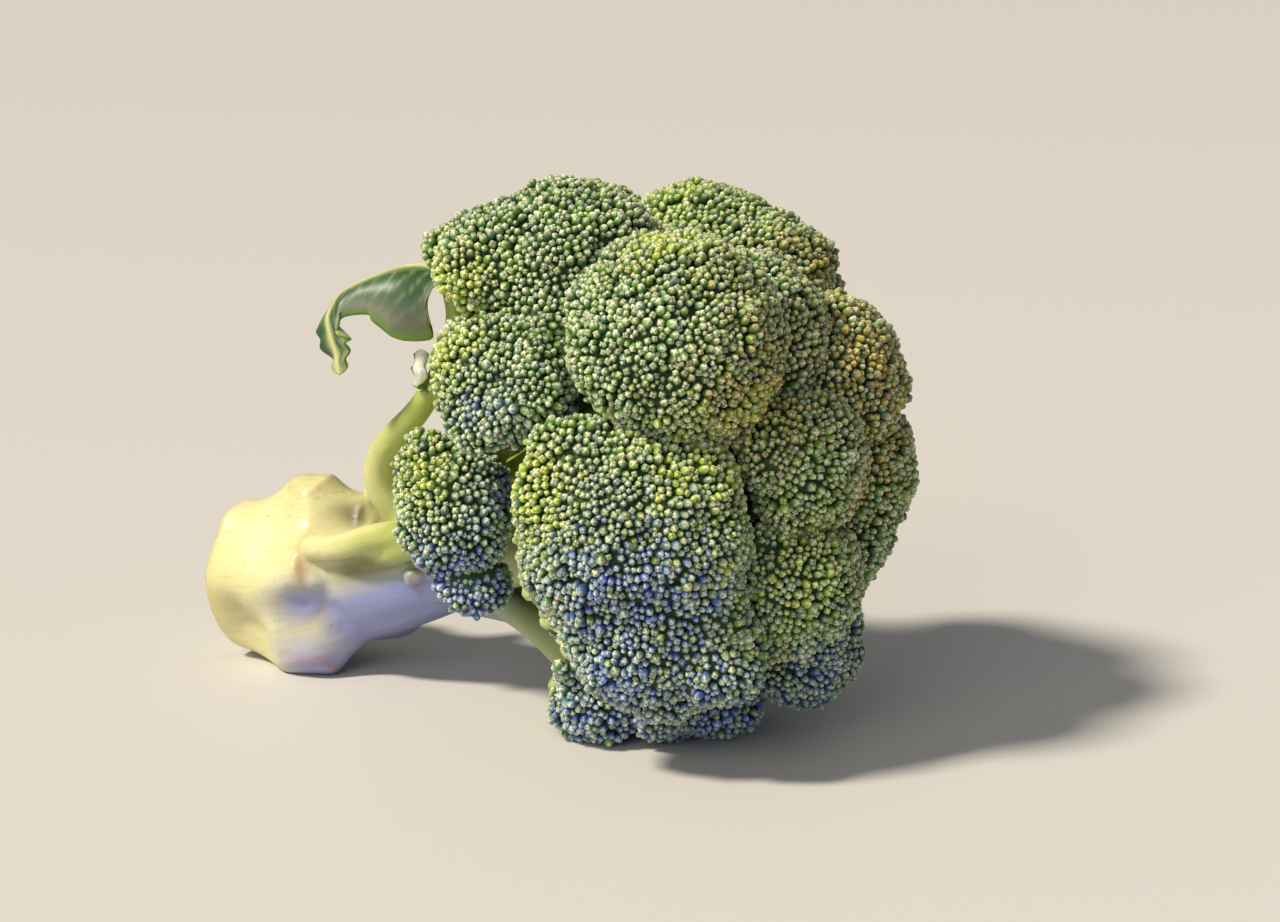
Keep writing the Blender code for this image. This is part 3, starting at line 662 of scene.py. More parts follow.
def leaf_skin(name, low, high, vein, grey, edge):
    """A young broccoli leaf's face: grown thin, smooth and waxy, with a pale midrib and side veins
    that stand up a little, and a greyer band inside its edge."""
    material, tree, shader = new_material(
        name, Roughness=0.42, IOR=1.45, Subsurface_Weight=0.1, Subsurface_Scale=1.0 * MM,
    )
    place = add_node(tree, "TexCoord", {}).outputs["Object"]
    rib, out = (
        add_node(tree, "Attribute", {}, attribute_name=mark).outputs["Fac"] for mark in ("rib", "out")
    )
    noise = {"Vector": place, "Scale": scale_of(3.846), "Detail": 4.0}
    cloud = add_node(tree, "TexNoise", noise).outputs["Fac"]
    # What each fade reads, from where to where, and what it gives at either end
    fades = ((out, 0.45, 0.75, 0.0, 0.75), (out, 0.78, 0.95, 0.0, 0.9))
    faded, outer = (add_node(tree, "MapRange", dict(enumerate(row))).outputs[0] for row in fades)
    blade = colour(low)
    for factor, tint in ((cloud, high), (faded, grey), (outer, edge), (rib, vein)):
        inputs = {FACTOR: factor, COLOUR_A: blade, COLOUR_B: colour(tint)}
        blade = add_node(tree, "Mix", inputs, data_type="RGBA").outputs[MIXED]
    tree.links.new(blade, shader.inputs["Base Color"])
    bump = add_node(tree, "Bump", {"Height": rib, "Strength": 0.5, "Distance": 0.4 * MM})
    tree.links.new(bump.outputs["Normal"], shader.inputs["Normal"])
    return material


def only(obj):
    """Selects one object and makes it the active one."""
    bpy.ops.object.select_all(action="DESELECT")
    obj.select_set(True)
    bpy.context.view_layer.objects.active = obj


def join(name, objects):
    only(objects[0])
    for obj in objects:
        obj.select_set(True)
    bpy.ops.object.join()
    objects[0].name = name
    return objects[0]


def corners_of(obj):
    places = np.empty(3 * len(obj.data.vertices))
    obj.data.vertices.foreach_get("co", places)
    return places.reshape(-1, 3)


def put_corners(obj, places_mm):
    obj.data.vertices.foreach_set("co", (places_mm * MM).ravel())
    obj.data.update()


def set_attribute(obj, name, values):
    values = np.asarray(values, dtype=np.float32)
    kind, field = ("FLOAT_VECTOR", "vector") if values.ndim == 2 else ("FLOAT", "value")
    obj.data.attributes.new(name, kind, "POINT").data.foreach_set(field, values.ravel())


def finish(name, obj, node):
    """Names a piece, puts its place into its mesh, hangs it under the root body and hides the solid of the
    node that it stands for.
    """
    only(obj)
    bpy.ops.object.transform_apply(location=True, rotation=True, scale=True)
    bpy.ops.object.shade_smooth()
    obj.name = name
    obj.data.name = name
    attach(obj, "root")
    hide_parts(node)
    return obj


# A bud's half width at heights from its foot to its tip, at -1 and 1
BUD_HEIGHTS = (-1, -0.87, -0.5, 0, 0.5, 0.87, 1)
BUD_WIDTHS = (0, 0.5, 0.84, 1.0, 0.9, 0.5, 0)
FOOT_CREASE = 0.03      # how deep the creases are at the foot, as a share of the bud's width
SEPAL_CURL = 0.12       # how far parted sepals' ends stand up
# Painted shade: how dark the creases are painted, and the hole between parted sepals
CREASE_SHADE = 0.8      # how dark the creases are, and the hole between parted sepals
OPEN_TIP_SHADE = 0.9
# Buds' shapes: how high the tip stands, how long the bud is and how deep its creases are
BUD_SHAPES = ((1.0, 1.0, 0.12), (1.0, 1.1, 0.2), (0.68, 0.95, 0.28))


def model_bud(tip_height, stretch, crease_depth):
    """One bud, 2 wide: four sepals that meet at the tip. Its eight sides are in turn the middle
    of a sepal and the crease between two. A low tip leaves the sepals' ends parted."""
    bpy.ops.object.select_all(action="DESELECT")
    bpy.ops.mesh.primitive_uv_sphere_add(segments=8, ring_count=6, radius=1.0)
    bud = bpy.context.object
    places = corners_of(bud)
    height = places[:, 2].copy()
    turn = np.arctan2(places[:, 1], places[:, 0])
    sepal = 0.5 + 0.5 * np.cos(4 * turn)
    wide = np.interp(height, BUD_HEIGHTS, BUD_WIDTHS)
    near_tip = np.clip((height + 0.3) / 1.2, 0, 1)
    wide = wide * (1 - (FOOT_CREASE + crease_depth * near_tip) * (1 - sepal))
    sideways = wide / np.maximum(np.hypot(places[:, 0], places[:, 1]), 1e-6)
    lifted = height + SEPAL_CURL * (1 - tip_height) * sepal * (height > 0.8)
    lifted[height > 0.99] = tip_height
    shaped = np.stack([places[:, 0] * sideways, places[:, 1] * sideways, lifted * stretch], axis=1)
    faces = [tuple(polygon.vertices) for polygon in bud.data.polygons]
    bpy.data.objects.remove(bud)
    # Painted shade in the creases near the tip, and in the hole between parted sepals
    painted_crease_shade = CREASE_SHADE * (1 - sepal) * near_tip**2
    painted_crease_shade[height > 0.99] = OPEN_TIP_SHADE if tip_height < 0.9 else 0.0
    return shaped, faces, (height + 1) / 2, painted_crease_shade


def repeated(name, shape, faces, frames, places):
    """One mesh of many copies of a shape: each has its own place, and turns and sizes it by
    the three rows of its frame."""
    count, corners = len(places), len(shape)
    every = np.einsum("vi,nij->nvj", shape, frames) + places[:, None, :]
    starts = np.cumsum([0] + [len(face) for face in faces[:-1]])
    indices = np.concatenate([np.array(face) for face in faces])
    mesh = bpy.data.meshes.new(name)
    mesh.vertices.add(count * corners)
    mesh.vertices.foreach_set("co", (every * MM).ravel())
    mesh.loops.add(count * len(indices))
    steps = np.arange(count)[:, None]
    mesh.loops.foreach_set("vertex_index", (indices[None] + steps * corners).ravel())
    mesh.polygons.add(count * len(faces))
    mesh.polygons.foreach_set("loop_start", (starts[None] + steps * len(indices)).ravel())
    mesh.update(calc_edges=True)
    obj = bpy.data.objects.new(name, mesh)
    bpy.context.scene.collection.objects.link(obj)
    return obj


def frames_along(axes, spins, widths, lengths):
    """Rows that turn a shape's own z to each axis, spin it, and size it."""
    across = unit(np.cross(axes, HINT))
    upward = np.cross(axes, across)
    cos, sin = np.cos(spins)[:, None], np.sin(spins)[:, None]
    first, second = cos * across + sin * upward, cos * upward - sin * across
    return np.stack([first * widths[:, None], second * widths[:, None], axes * lengths[:, None]], axis=1)


PATCH_SPREAD = 0.5      # how unevenly a patch colours its buds
STRAY_PATCH = 0.11      # and how much colour strays outside the patches
# Patches of the crown that differ in colour: place, radius, strength
YELLOW_PATCHES = (
    ((8, -46, 111), 9, 0.9), ((57, -33, 124), 12, 0.7), ((10, -52, 96), 9, 0.7), ((37, -60, 69), 12, 1.0),
    ((71, -48, 72), 15, 0.7), ((85, -22, 51), 12, 0.7), ((0, -48, 66), 9, 0.6), ((78, -38, 38), 10, 0.5),
    ((26, 10, 128), 18, 0.5), ((70, 30, 40), 16, 0.5), ((20, 50, 100), 14, 0.4), ((76, -42, 54), 9, 0.6),
    ((79, -31, 86), 8, 0.6), ((40, -36, 127), 8, 0.5), ((66, -50, 36), 7, 0.4), ((58, -40, 100), 10, 0.3),
)
# Blue-violet patches: partly the buds' wax bloom, partly painted cool shade low on the crown
BLUE_BLOOM_AND_SHADE_PATCHES = (
    ((63, -55, 43), 24, 0.8), ((58, -54, 26), 20, 0.75), ((10, -46, 40), 14, 1.0), ((74, -44, 20), 16, 0.6),
    ((37, -28, 8), 20, 0.7), ((60, -15, 8), 20, 0.7), ((22, -55, 84), 9, 0.4), ((18, -32, 62), 12, 0.7),
    ((83, 0, 20), 18, 0.5), ((30, 30, 10), 22, 0.5), ((44, -56, 40), 12, 0.5),
)
OCHRE_PATCHES = (
    ((80, -30, 90), 17, 0.75), ((88, 8, 92), 22, 0.75), ((68, 19, 111), 18, 0.55), ((88, 0, 62), 16, 0.5),
    ((75, -32, 108), 12, 0.4), ((88, 14, 70), 16, 0.5),
)


def patch_strength(places, patches):
    """How strongly the patches of one colour tint each place."""
    strength = np.zeros(len(places))
    for middle, radius, most in patches:
        apart = np.linalg.norm(places - np.array(middle, dtype=float), axis=1)
        strength = np.maximum(strength, most * np.exp(-((apart / radius) ** 2)))
    return strength


def surface_normals(floret, directions):
    """Which way the soft surface faces in each direction."""
    across = unit(np.cross(directions, HINT))
    upward = np.cross(directions, across)
    fans = [directions, unit(directions + NORMAL_STEP * across), unit(directions + NORMAL_STEP * upward)]
    here, beside, above = (soft_surface(floret, fan)[0][:, None] * fan for fan in fans)
    return unit(np.cross(beside - here, above - here))


def add_core(floret):
    """The floret's flesh: a ball shaped to lie just under the buds."""
    bpy.ops.object.select_all(action="DESELECT")
    bpy.ops.mesh.primitive_ico_sphere_add(subdivisions=5, radius=1.0)
    core = bpy.context.object
    directions = unit(corners_of(core))
    reach = soft_surface(floret, directions)[0]
    put_corners(core, floret["centre"] + (reach - CORE_DEPTH)[:, None] * directions)
    facing = np.degrees(np.arccos(np.clip(directions @ floret["growth"], -1, 1)))
    set_attribute(core, "tip", np.clip((facing - BUD_LIMIT) / CORE_FADE, 0, 1))
    return core


def add_buds(floret, florets, bud_shapes, rng):
    """All of a floret's buds, spaced and bunched over its dome."""
    centre = floret["centre"]
    directions = spread_directions(int(4 * math.pi * floret["widest"] ** 2 / BUD_CANDIDATE_AREA))
    reach, dome, flank = soft_surface(floret, directions)
    places = centre + reach[:, None] * directions
    flank = np.flatnonzero(flank)
    flank = flank[in_the_open(floret, places[flank], florets)]
    grows = np.sort(np.concatenate([np.flatnonzero(dome), flank]))
    directions, places = directions[grows], places[grows]
    large = spaced_choice(places, BUD_PITCH * BUD_PACKING, rng)
    large = evened(places, large, reach[grows] ** 2, BUD_ROUNDS)
    gaps = np.flatnonzero(how_far(places, places[large], 1) > FILL_GAP)
    small = gaps[spaced_choice(places[gaps], FILL_PITCH, rng)] if len(gaps) else gaps
    chosen = np.concatenate([large, small])
    sunk = np.where(np.arange(len(chosen)) < len(large), 0.0, FILL_SUNK)
    places, normals = places[chosen], surface_normals(floret, directions[chosen])
    count = len(places)
    bunches = places[spaced_choice(places, BUNCH_PITCH, rng)]
    own = nearest_of(places, bunches)
    to_bunch = bunches[own] - places
    near = 1 - np.clip(np.linalg.norm(to_bunch, axis=1) / BUNCH_REACH, 0, 1) ** 2
    lift = BUNCH_RISE * (near - 0.5) + BUNCH_UNEVEN * rng.normal(size=len(bunches))[own]
    lift = np.minimum(lift + BUD_UNEVEN * rng.normal(size=count), BUD_HIGHEST) - BUD_SUNK - sunk
    widths = BUD_FILL * how_far(places, places, BUD_NEIGHBOUR) * rng.uniform(*BUD_FILL_SPREAD, count)
    widths = widths * np.where(rng.uniform(size=count) < BOLD_SHARE, BOLD_SIZE, 1.0)
    widths = np.clip(widths, *BUD_RADII)
    lengths = widths * rng.uniform(*BUD_STRETCH, count)
    axes = unit(normals + BUD_FANNING * floret["growth"] + BUD_LEAN * rng.normal(size=(count, 3)))
    spots = places + BUNCH_PULL * to_bunch + lift[:, None] * normals
    spots[:, 2] = np.maximum(spots[:, 2], lengths)
    frames = frames_along(axes, rng.uniform(0, 2 * math.pi, count), widths, lengths)
    kinds = (YELLOW_PATCHES, BLUE_BLOOM_AND_SHADE_PATCHES, OCHRE_PATCHES)
    patches = np.stack([patch_strength(spots, kind) for kind in kinds], axis=1)
    patches = patches * (1 + PATCH_SPREAD * rng.normal(size=(count, 3)))
    patches = np.clip(patches + STRAY_PATCH * rng.normal(size=(count, 3)), 0, 1)
    bunch_tone = rng.normal(0, BUNCH_TONE, len(bunches))[own]
    tones = np.clip(rng.normal(*BUD_TONE, count) + bunch_tone, 0, 1)
    pick = rng.integers(len(bud_shapes), size=count)
    made = []
    for kind, (shape, faces, tip, painted_crease_shade) in enumerate(bud_shapes):
        these = pick == kind
        buds = repeated("buds", shape, faces, frames[these], spots[these])
        for attribute, values in (("tip", tip), ("painted_crease_shade", painted_crease_shade)):
            set_attribute(buds, attribute, np.tile(values, these.sum()))
        set_attribute(buds, "tone", np.repeat(tones[these], len(shape)))
        set_attribute(buds, "patch", np.repeat(patches[these], len(shape), axis=0))
        made.append(buds)
    return join("buds", made)


# Small stems under a floret, in two layers: how far apart round the rim, radius at the branch
# and at the rim, and where they start and end, in degrees from the floret's growth direction
STEM_LAYERS = ((6.4, 2.6, 1.7, 156, 106), (3.4, 1.3, 0.9, 136, 101))
STEM_SWAY = 0.10        # how far a stem winds to either side, and how often
STEM_WINDING = 3.0
STEM_PLACE_SPREAD = 0.35    # as a share of how far apart the stems are
STEM_START_SPREAD = 5.0
STEM_END_SPREAD = 6.0
STEM_THICKNESS = (0.75, 1.2)    # as a share of its layer's
STEM_DEPTH = 0.5        # of a stem's line under the solid floret's surface
STEM_SUNK = 0.45        # and the share of its radius that is added to that
STEM_RINGS = 10
STEM_SIDES = 8


def model_stem_ring():
    """The corners round a small stem, 2 wide."""
    turns = 2 * math.pi * np.arange(STEM_SIDES) / STEM_SIDES
    return np.stack([np.cos(turns), np.sin(turns)], axis=1)


def tube_faces(rings, sides):
    faces = [tuple(range(sides))[::-1]]
    for k in range(rings - 1):
        for j in range(sides):
            a, b = k * sides + j, k * sides + (j + 1) % sides
            faces.append((a, b, b + sides, a + sides))
    faces.append(tuple((rings - 1) * sides + j for j in range(sides)))
    return faces


def add_stems(floret, rng):
    """Small stems that spread over a floret's underside from its branch to its rim."""
    growth = floret["growth"]
    across = unit(HINT - (HINT @ growth) * growth)
    upward = np.cross(growth, across)
    main = max(radius for _, radius in floret["lobes"])
    ring = model_stem_ring()
    steps = np.linspace(0, 1, STEM_RINGS)
    corners = []
    for pitch, thick, thin, start, end in STEM_LAYERS:
        count = int(2 * math.pi * main / pitch)
        for k in range(count):
            sway = rng.uniform(0, 2 * math.pi)
            turn = 2 * math.pi * (k + rng.uniform(-STEM_PLACE_SPREAD, STEM_PLACE_SPREAD)) / count
            turn = turn + STEM_SWAY * np.sin(STEM_WINDING * steps + sway)
            sideways = np.cos(turn)[:, None] * across + np.sin(turn)[:, None] * upward
            first = start + rng.uniform(-STEM_START_SPREAD, STEM_START_SPREAD)
            angles = np.radians(first + (end - start - rng.uniform(0, STEM_END_SPREAD)) * steps)
            fan = np.cos(angles)[:, None] * growth + np.sin(angles)[:, None] * sideways
            radii = (thick + (thin - thick) * steps) * rng.uniform(*STEM_THICKNESS)
            reach, _ = floret_surface(floret, fan)
            line = floret["centre"] + (reach - radii * STEM_SUNK - STEM_DEPTH)[:, None] * fan
            forward = unit(np.gradient(line, axis=0))
            aside = unit(np.cross(forward, fan))
            outward = np.cross(aside, forward)
            turned = ring[None, :, 0, None] * aside[:, None] + ring[None, :, 1, None] * outward[:, None]
            corners.append((line[:, None] + radii[:, None, None] * turned).reshape(-1, 3))
    mesh = bpy.data.meshes.new("stems")
    faces = tube_faces(STEM_RINGS, STEM_SIDES)
    step = STEM_RINGS * STEM_SIDES
    every = [tuple(k * step + i for i in face) for k in range(len(corners)) for face in faces]
    mesh.from_pydata([tuple(place * MM) for block in corners for place in block], [], every)
    obj = bpy.data.objects.new("stems", mesh)
    bpy.context.scene.collection.objects.link(obj)
    only(obj)
    bpy.ops.object.mode_set(mode="EDIT")
    bpy.ops.mesh.select_all(action="SELECT")
    bpy.ops.mesh.normals_make_consistent(inside=False)
    bpy.ops.object.mode_set(mode="OBJECT")
    return obj


def dress_floret(index, floret, florets, bud_shapes, materials):
    """A floret's buds, flesh and small stems, joined as one piece that stays above the floor."""
    rng = np.random.default_rng(BUD_SEED + index)
    pieces = [add_buds(floret, florets, bud_shapes, rng), add_core(floret), add_stems(floret, rng)]
    for piece, material in zip(pieces, materials):
        piece.data.materials.clear()
        piece.data.materials.append(material)
    piece = join(floret["name"], pieces)
    places = corners_of(piece) / MM
    places[:, 2] = np.maximum(places[:, 2], 0.0)
    put_corners(piece, places)
    return finish(floret["name"].replace("floret", "bloom"), piece, floret["name"])


MERGE_WITHIN = 0.01     # corners this near each other become one


def tube_from_grid(name, rings, sides, place):
    """A grid rolled up into a closed tube: place gives a corner for its share along and round."""
    bpy.ops.object.select_all(action="DESELECT")
    bpy.ops.mesh.primitive_grid_add(x_subdivisions=rings, y_subdivisions=sides, size=1.0)
    tube = bpy.context.object
    tube.name = name
    flat = corners_of(tube)
    put_corners(tube, place(flat[:, 0] + 0.5, flat[:, 1] + 0.5))
    bpy.ops.object.mode_set(mode="EDIT")
    bpy.ops.mesh.select_all(action="SELECT")
    bpy.ops.mesh.remove_doubles(threshold=MERGE_WITHIN * MM)
    bpy.ops.mesh.fill_holes(sides=0)
    bpy.ops.mesh.normals_make_consistent(inside=False)
    bpy.ops.object.mode_set(mode="OBJECT")
    return tube


def limb_tube(name, line, radii, rings, sides):
    """A round limb along a line, given as functions of the share along it."""
    steps = np.linspace(0, 1, rings + 1)
    places = np.array([line(t) for t in steps])
    forward = unit(np.gradient(places, axis=0))
    across = unit(HINT - (forward @ HINT)[:, None] * forward)
    upward = np.cross(forward, across)
    wide = np.array([radii(t) for t in steps])

    def place(along, round_by):
        k = np.rint(along * rings).astype(int)
        turn = 2 * math.pi * round_by[:, None]
        return places[k] + wide[k, None] * (np.cos(turn) * across[k] + np.sin(turn) * upward[k])

    return tube_from_grid(name, rings, sides, place)


# Rings and sides of the limbs that the stalk is melted from
TRUNK_GRID = (150, 120)
SHOOT_GRID = (40, 20)
BRANCH_GRID = (24, 24)
STUB_GRID = (8, 20)
SIDE_LIMB_GRID = (30, 20)
STALK_TOP = 26          # the trunk starts this far back from the crown's centre
RIND_VOXEL = 0.92       # of the mesh that the limbs melt into
RIND_SOFTNESS = 0.5
RIND_SOFTENINGS = 4
RIND_STEP = 0.5         # between the places on the axis that the rind is measured from
FLORET_JOIN = 4.0       # a branch runs on this far into its floret
# The pith shrinks in as the cut dries: how far, and how that fades out across the cut
CUT_SUNK = 0.9
CUT_MIDDLE = 1.2
CUT_FLATTENING = 1.6
# A leaf scar's cut face is flat: its hill is made taller and then levelled off
SCAR_GAIN = 1.35
SCAR_LEVEL = 0.9
SCAR_SLOPE = 1.6
MARKED_SCARS = (0, 1, 5, 6, 7)  # the ones with a brown rim
# Hollows and swellings: distance back, bearing, length along, width round, height
HOLLOWS = (
    (85, 28, 8, 5, -4.5), (75, 38, 8, 5, -3.0), (98, 100, 7, 6, -4.6), (112, 84, 7, 6, 1.3),
    (90, 74, 3.5, 10, -2.4), (92, 87, 2.0, 2.2, 1.8), (74, 86, 12, 8, -2.6), (118, 40, 12, 9, 0.8),
    (108, 60, 7, 8, -0.9), (122, 100, 8, 7, -1.2), (127, 12, 5, 10, 2.2), (128, 24, 2.5, 3, 1.2),
    (108, 121, 3.5, 3.5, 1.3), (94, 60, 3, 3, 0.8), (107, -6, 5, 10, 1.5), (115, -4, 9, 12, 2.6),
    (97, -4, 5, 7, 0.5), (103, 84, 6, 3, 0.9), (66, -60, 10, 8, -2.5), (104, -40, 8, 7, -1.8),
)
# The edge of an old leaf's base: distance back, bearing, spread of bearings, length, height
LEAF_EDGE = (95.5, 68, 26, 15, 1.7)
EDGE_STEP = 1.6         # how far along the stalk the edge takes to rise
EDGE_LINE = 1.3         # and how wide its mark is
# A small side branch in front of the stalk: distance back, bearing, distance from the axis
SIDE_LIMB = ((98, 60, 12), (93.5, 57, 17.5), (86, 62, 20), (78, 65, 21), (69, 65, 21.5), (57, 70, 22.5))
SIDE_LIMB_RADII = (3.2, 3.5)
SIDE_LIMB_FLORET = "floret_low_front"
# Cut stubs of small leaves: distance back, bearing, radius, length
STUB_PLACES = ((85, 4, 2.9, 11.0), (67, 102, 2.4, 4.0), (96, -60, 3.5, 6.0))
# The dent beside the first stub: distance back, bearing, length, spread of bearings, depth
DENT = (85, 10, 6, 12, 2.5)
# Painted olive shade on the rind, in its hollows, under the side branch and low near the cut end: distance
# back, bearing, length, spread of bearings, strength
OLIVE_PAINTED_SHADES = (
    (77, 82, 14, 13, 0.85), (120, 98, 8, 18, 0.5), (85, 10, 7, 17, 1.0), (76, 20, 6, 14, 0.9),
)
# Each fade below is where it starts and over what length; a negative length fades the other way.
# The trunk's own surface, by distance from the axis, below the branches and shoots in front of it
TRUNK_SURFACE = (20.5, -2)
# Wax bloom and painted cool shade in the hollow above the bulge: the same five as the painted olive shade
BLOOM_AND_SHADE_HOLLOW = (97, 103, 10, 19, 0.9)
# and low down: strength, fade round the stalk or up from the floor, fade along it
BLOOM_AND_SHADE_UNDER = (0.85, (84, 24), (101, -10))
BLOOM_AND_SHADE_FOOT = (0.8, (17, -12), (116, -14))
BLOOM_AND_SHADE_MOST = 0.9
BLOOM_AND_SHADE_TO_CROWN = (-20, 30)  # it fades out along X, but not below the least
BLOOM_AND_SHADE_LEAST = 0.2
# Green towards the crown, but less on the pale top of the side branch: fades by bearing, by
# distance from the axis and along the stalk, the bearing that it starts at, strength
GREEN_TO_CROWN = (-52, 26)  # along X
GREEN_MOST = 0.9
PALE_LIMB = ((66, -6), (18.5, 2), (54, 8), 42, 0.8)
# Pinkish-brown rims: strength, then for a leaf scar how far outside its levelled face and how
# wide, for the cut end the fade along the stalk, the bearing and its half spread, and for a stub
# the size as a share of its radius
SCAR_RIM = (0.55, 0.06, 0.10)
EDGE_RIM = 0.7
CUT_RIM = (0.5, (126, 3), 30, 100)
STUB_RIM = (0.6, 0.9)
RIM_ROOM = 1.5          # a rim stops about this far off the trunk's surface
CUT_FACE = (0.2, 0.8)   # the cut's own colour, by distance in front of its plane
# Long fibres in the rind: how many to a mm across, and how long one is
FIBRES_ACROSS = 0.7
FIBRE_LENGTH = 14.0


def fade(values, start, length):
    """0 before the start and 1 from the length further on."""
    return np.clip((values - start) / length, 0, 1)


def spot(back, bearing, place, turn, length, spread, most):
    """A soft spot on the rind: strongest at its place along and round the stalk."""
    return most * np.exp(-(((back - place) / length) ** 2) - ((bearing - turn) / spread) ** 2)


def swelling(back, bearing, hollow):
    """How far one hollow or swelling moves the rind."""
    place, turn, length, across, height = hollow
    round_by = np.radians(around(bearing, turn)) * stalk_width(back)
    return height * np.exp(-(((back - place) / length) ** 2) - (round_by / across) ** 2)


def leaf_edge(back, bearing):
    """The step at an old leaf base's edge, and how near each place is to that edge."""
    place, turn, spread, length, height = LEAF_EDGE
    among = np.exp(-((around(bearing, turn) / spread) ** 2))
    rise = np.clip((back - place) / EDGE_STEP + 0.5, 0, 1) * np.exp(-np.maximum(back - place, 0) / length)
    return height * rise * among, np.exp(-(((back - place) / EDGE_LINE) ** 2)) * among


def rind_radius(back, bearing):
    """The stalk's radius with its scars' faces cut flat, its hollows and its old leaf's edge."""
    radius = stalk_width(back)
    for count, turn, height in STALK_RIBS:
        radius = radius + height * stalk_width(back) * np.cos(np.radians(count * bearing + turn))
    for scar in LEAF_SCARS:
        rise = scar_height(back, bearing, scar) / scar[4]
        radius = radius + scar[4] * np.minimum(SCAR_GAIN * rise**SCAR_SLOPE, SCAR_LEVEL)
    for hollow in HOLLOWS:
        radius = radius + swelling(back, bearing, hollow)
    return radius + leaf_edge(back, bearing)[0]


def trunk_place(along, round_by):
    """Places on the trunk's rind, never below the floor."""
    back = STALK_CUT + (STALK_TOP - STALK_CUT) * along
    bearing = 360 * round_by
    place = stalk_place(back) + rind_radius(back, bearing)[:, None] * stalk_outward(back, bearing)
    place[:, 2] = np.maximum(place[:, 2], 0.0)
    return place


def stub_route(back, bearing, radius, length):
    """Where a stub starts inside the stalk, and the way from there to its tip."""
    outward = stalk_outward(back, np.array(float(bearing)))
    lean = unit(outward + STUB_LEAN * stalk_direction(back))
    root = stalk_place(back) + STUB_ROOT * stalk_width(back) * outward
    return root, (STUB_SUNK * stalk_width(back) + length) * lean


def stub_tube(index, stub):
    root, along = stub_route(*stub)
    return limb_tube(f"stub_{index}", lambda t: root + t * along,
                     lambda t: stub[2] * (STUB_FLARE + (1 - STUB_FLARE) * t), *STUB_GRID)


def branch_tube(floret):
    """A floret's branch, which runs on straight into the floret."""
    route = branch_route(floret)
    straight = FLORET_JOIN / np.linalg.norm(route[3] - route[0])

    def line(t):
        t = t * (1 + straight)
        if t <= 1:
            return bezier(route, t)
        return route[3] + (t - 1) / straight * FLORET_JOIN * floret["growth"]

    return limb_tube("branch", line, lambda t: branch_radius(floret, min(t * (1 + straight), 1)),
                     *BRANCH_GRID)


def side_limb_tube(florets):
    """The small side branch in front of the stalk, up to the floret that it carries."""
    knots = [stalk_place(back) + far * stalk_outward(back, np.array(float(bearing)))
             for back, bearing, far in SIDE_LIMB]
    knots += [floret["centre"] for floret in florets if floret["name"] == SIDE_LIMB_FLORET]
    thick, thin = SIDE_LIMB_RADII
    return limb_tube("side_limb", lambda t: smooth_route(knots, t), lambda t: thick + (thin - thick) * t,
                     *SIDE_LIMB_GRID)


def melt_stalk(florets):
    """The trunk, branches, leafy shoot, stubs and side branch, melted together as one grown piece."""
    limbs = [tube_from_grid("trunk", *TRUNK_GRID, trunk_place)]
    limbs += [branch_tube(floret) for floret in florets]
    limbs.append(limb_tube("shoot", shoot_place, shoot_radius, *SHOOT_GRID))
    limbs += [stub_tube(k, stub) for k, stub in enumerate(STUB_PLACES)]
    limbs.append(side_limb_tube(florets))
    stalk = join("stalk_and_branches", limbs)
    melt = stalk.modifiers.new("melt", "REMESH")
    melt.mode = "VOXEL"
    melt.voxel_size = RIND_VOXEL * MM
    bpy.ops.object.modifier_apply(modifier=melt.name)
    soften = stalk.modifiers.new("soften", "SMOOTH")
    soften.factor = RIND_SOFTNESS
    soften.iterations = RIND_SOFTENINGS
    bpy.ops.object.modifier_apply(modifier=soften.name)
    return stalk


def rim_marks(places, back, bearing, reach):
    """How brown the rind is: along leaf scars, the old leaf's edge, the cut end and the stubs."""
    rims = np.zeros(len(places))
    strength, outside, width = SCAR_RIM
    for k in MARKED_SCARS:
        rise = SCAR_GAIN * (scar_height(back, bearing, LEAF_SCARS[k]) / LEAF_SCARS[k][4]) ** SCAR_SLOPE
        rims = np.maximum(rims, strength * np.exp(-(((rise - SCAR_LEVEL + outside) / width) ** 2)))
    on_trunk = np.clip(RIM_ROOM - np.abs(reach - rind_radius(back, bearing)) / RIM_ROOM, 0, 1)
    rims = np.maximum(rims, EDGE_RIM * leaf_edge(back, bearing)[1]) * on_trunk
    strength, along, turn, spread = CUT_RIM
    rims = np.maximum(rims, strength * fade(back, *along) * (np.abs(around(bearing, turn)) < spread))
    strength, size = STUB_RIM
    for stub in STUB_PLACES:
        root, along = stub_route(*stub)
        from_tip = np.linalg.norm(places - root - along, axis=1)
        rims = np.maximum(rims, strength * np.exp(-((from_tip / (size * stub[2])) ** 2)))
    return rims


def bloom_and_cool_shade(places, back, bearing):
    """How blue-violet the rind is, partly its wax bloom and partly painted cool shade: in the hollow, down
    its sides and near the floor.
    """
    bloom = spot(back, bearing, *BLOOM_AND_SHADE_HOLLOW)
    for measure, (strength, across, along) in ((np.abs(bearing), BLOOM_AND_SHADE_UNDER), (places[:, 2], BLOOM_AND_SHADE_FOOT)):
        bloom = np.maximum(bloom, strength * fade(measure, *across) * fade(back, *along))
    start, length = BLOOM_AND_SHADE_TO_CROWN
    to_crown = np.clip(1 - (places[:, 0] - start) / length, BLOOM_AND_SHADE_LEAST, 1)
    return np.clip(bloom, 0, BLOOM_AND_SHADE_MOST) * to_crown


def fresh_green(places, back, bearing, reach):
    """How green the rind is: more towards the crown, less on the side branch's pale top."""
    start, length = GREEN_TO_CROWN
    green = np.clip((places[:, 0] - start) / length, 0, GREEN_MOST)
    round_by, away, along, lowest, strength = PALE_LIMB
    limb_top = fade(bearing, *round_by) * fade(reach, *away) * (bearing > lowest)
    return green * (1 - strength * limb_top * fade(back, *along))


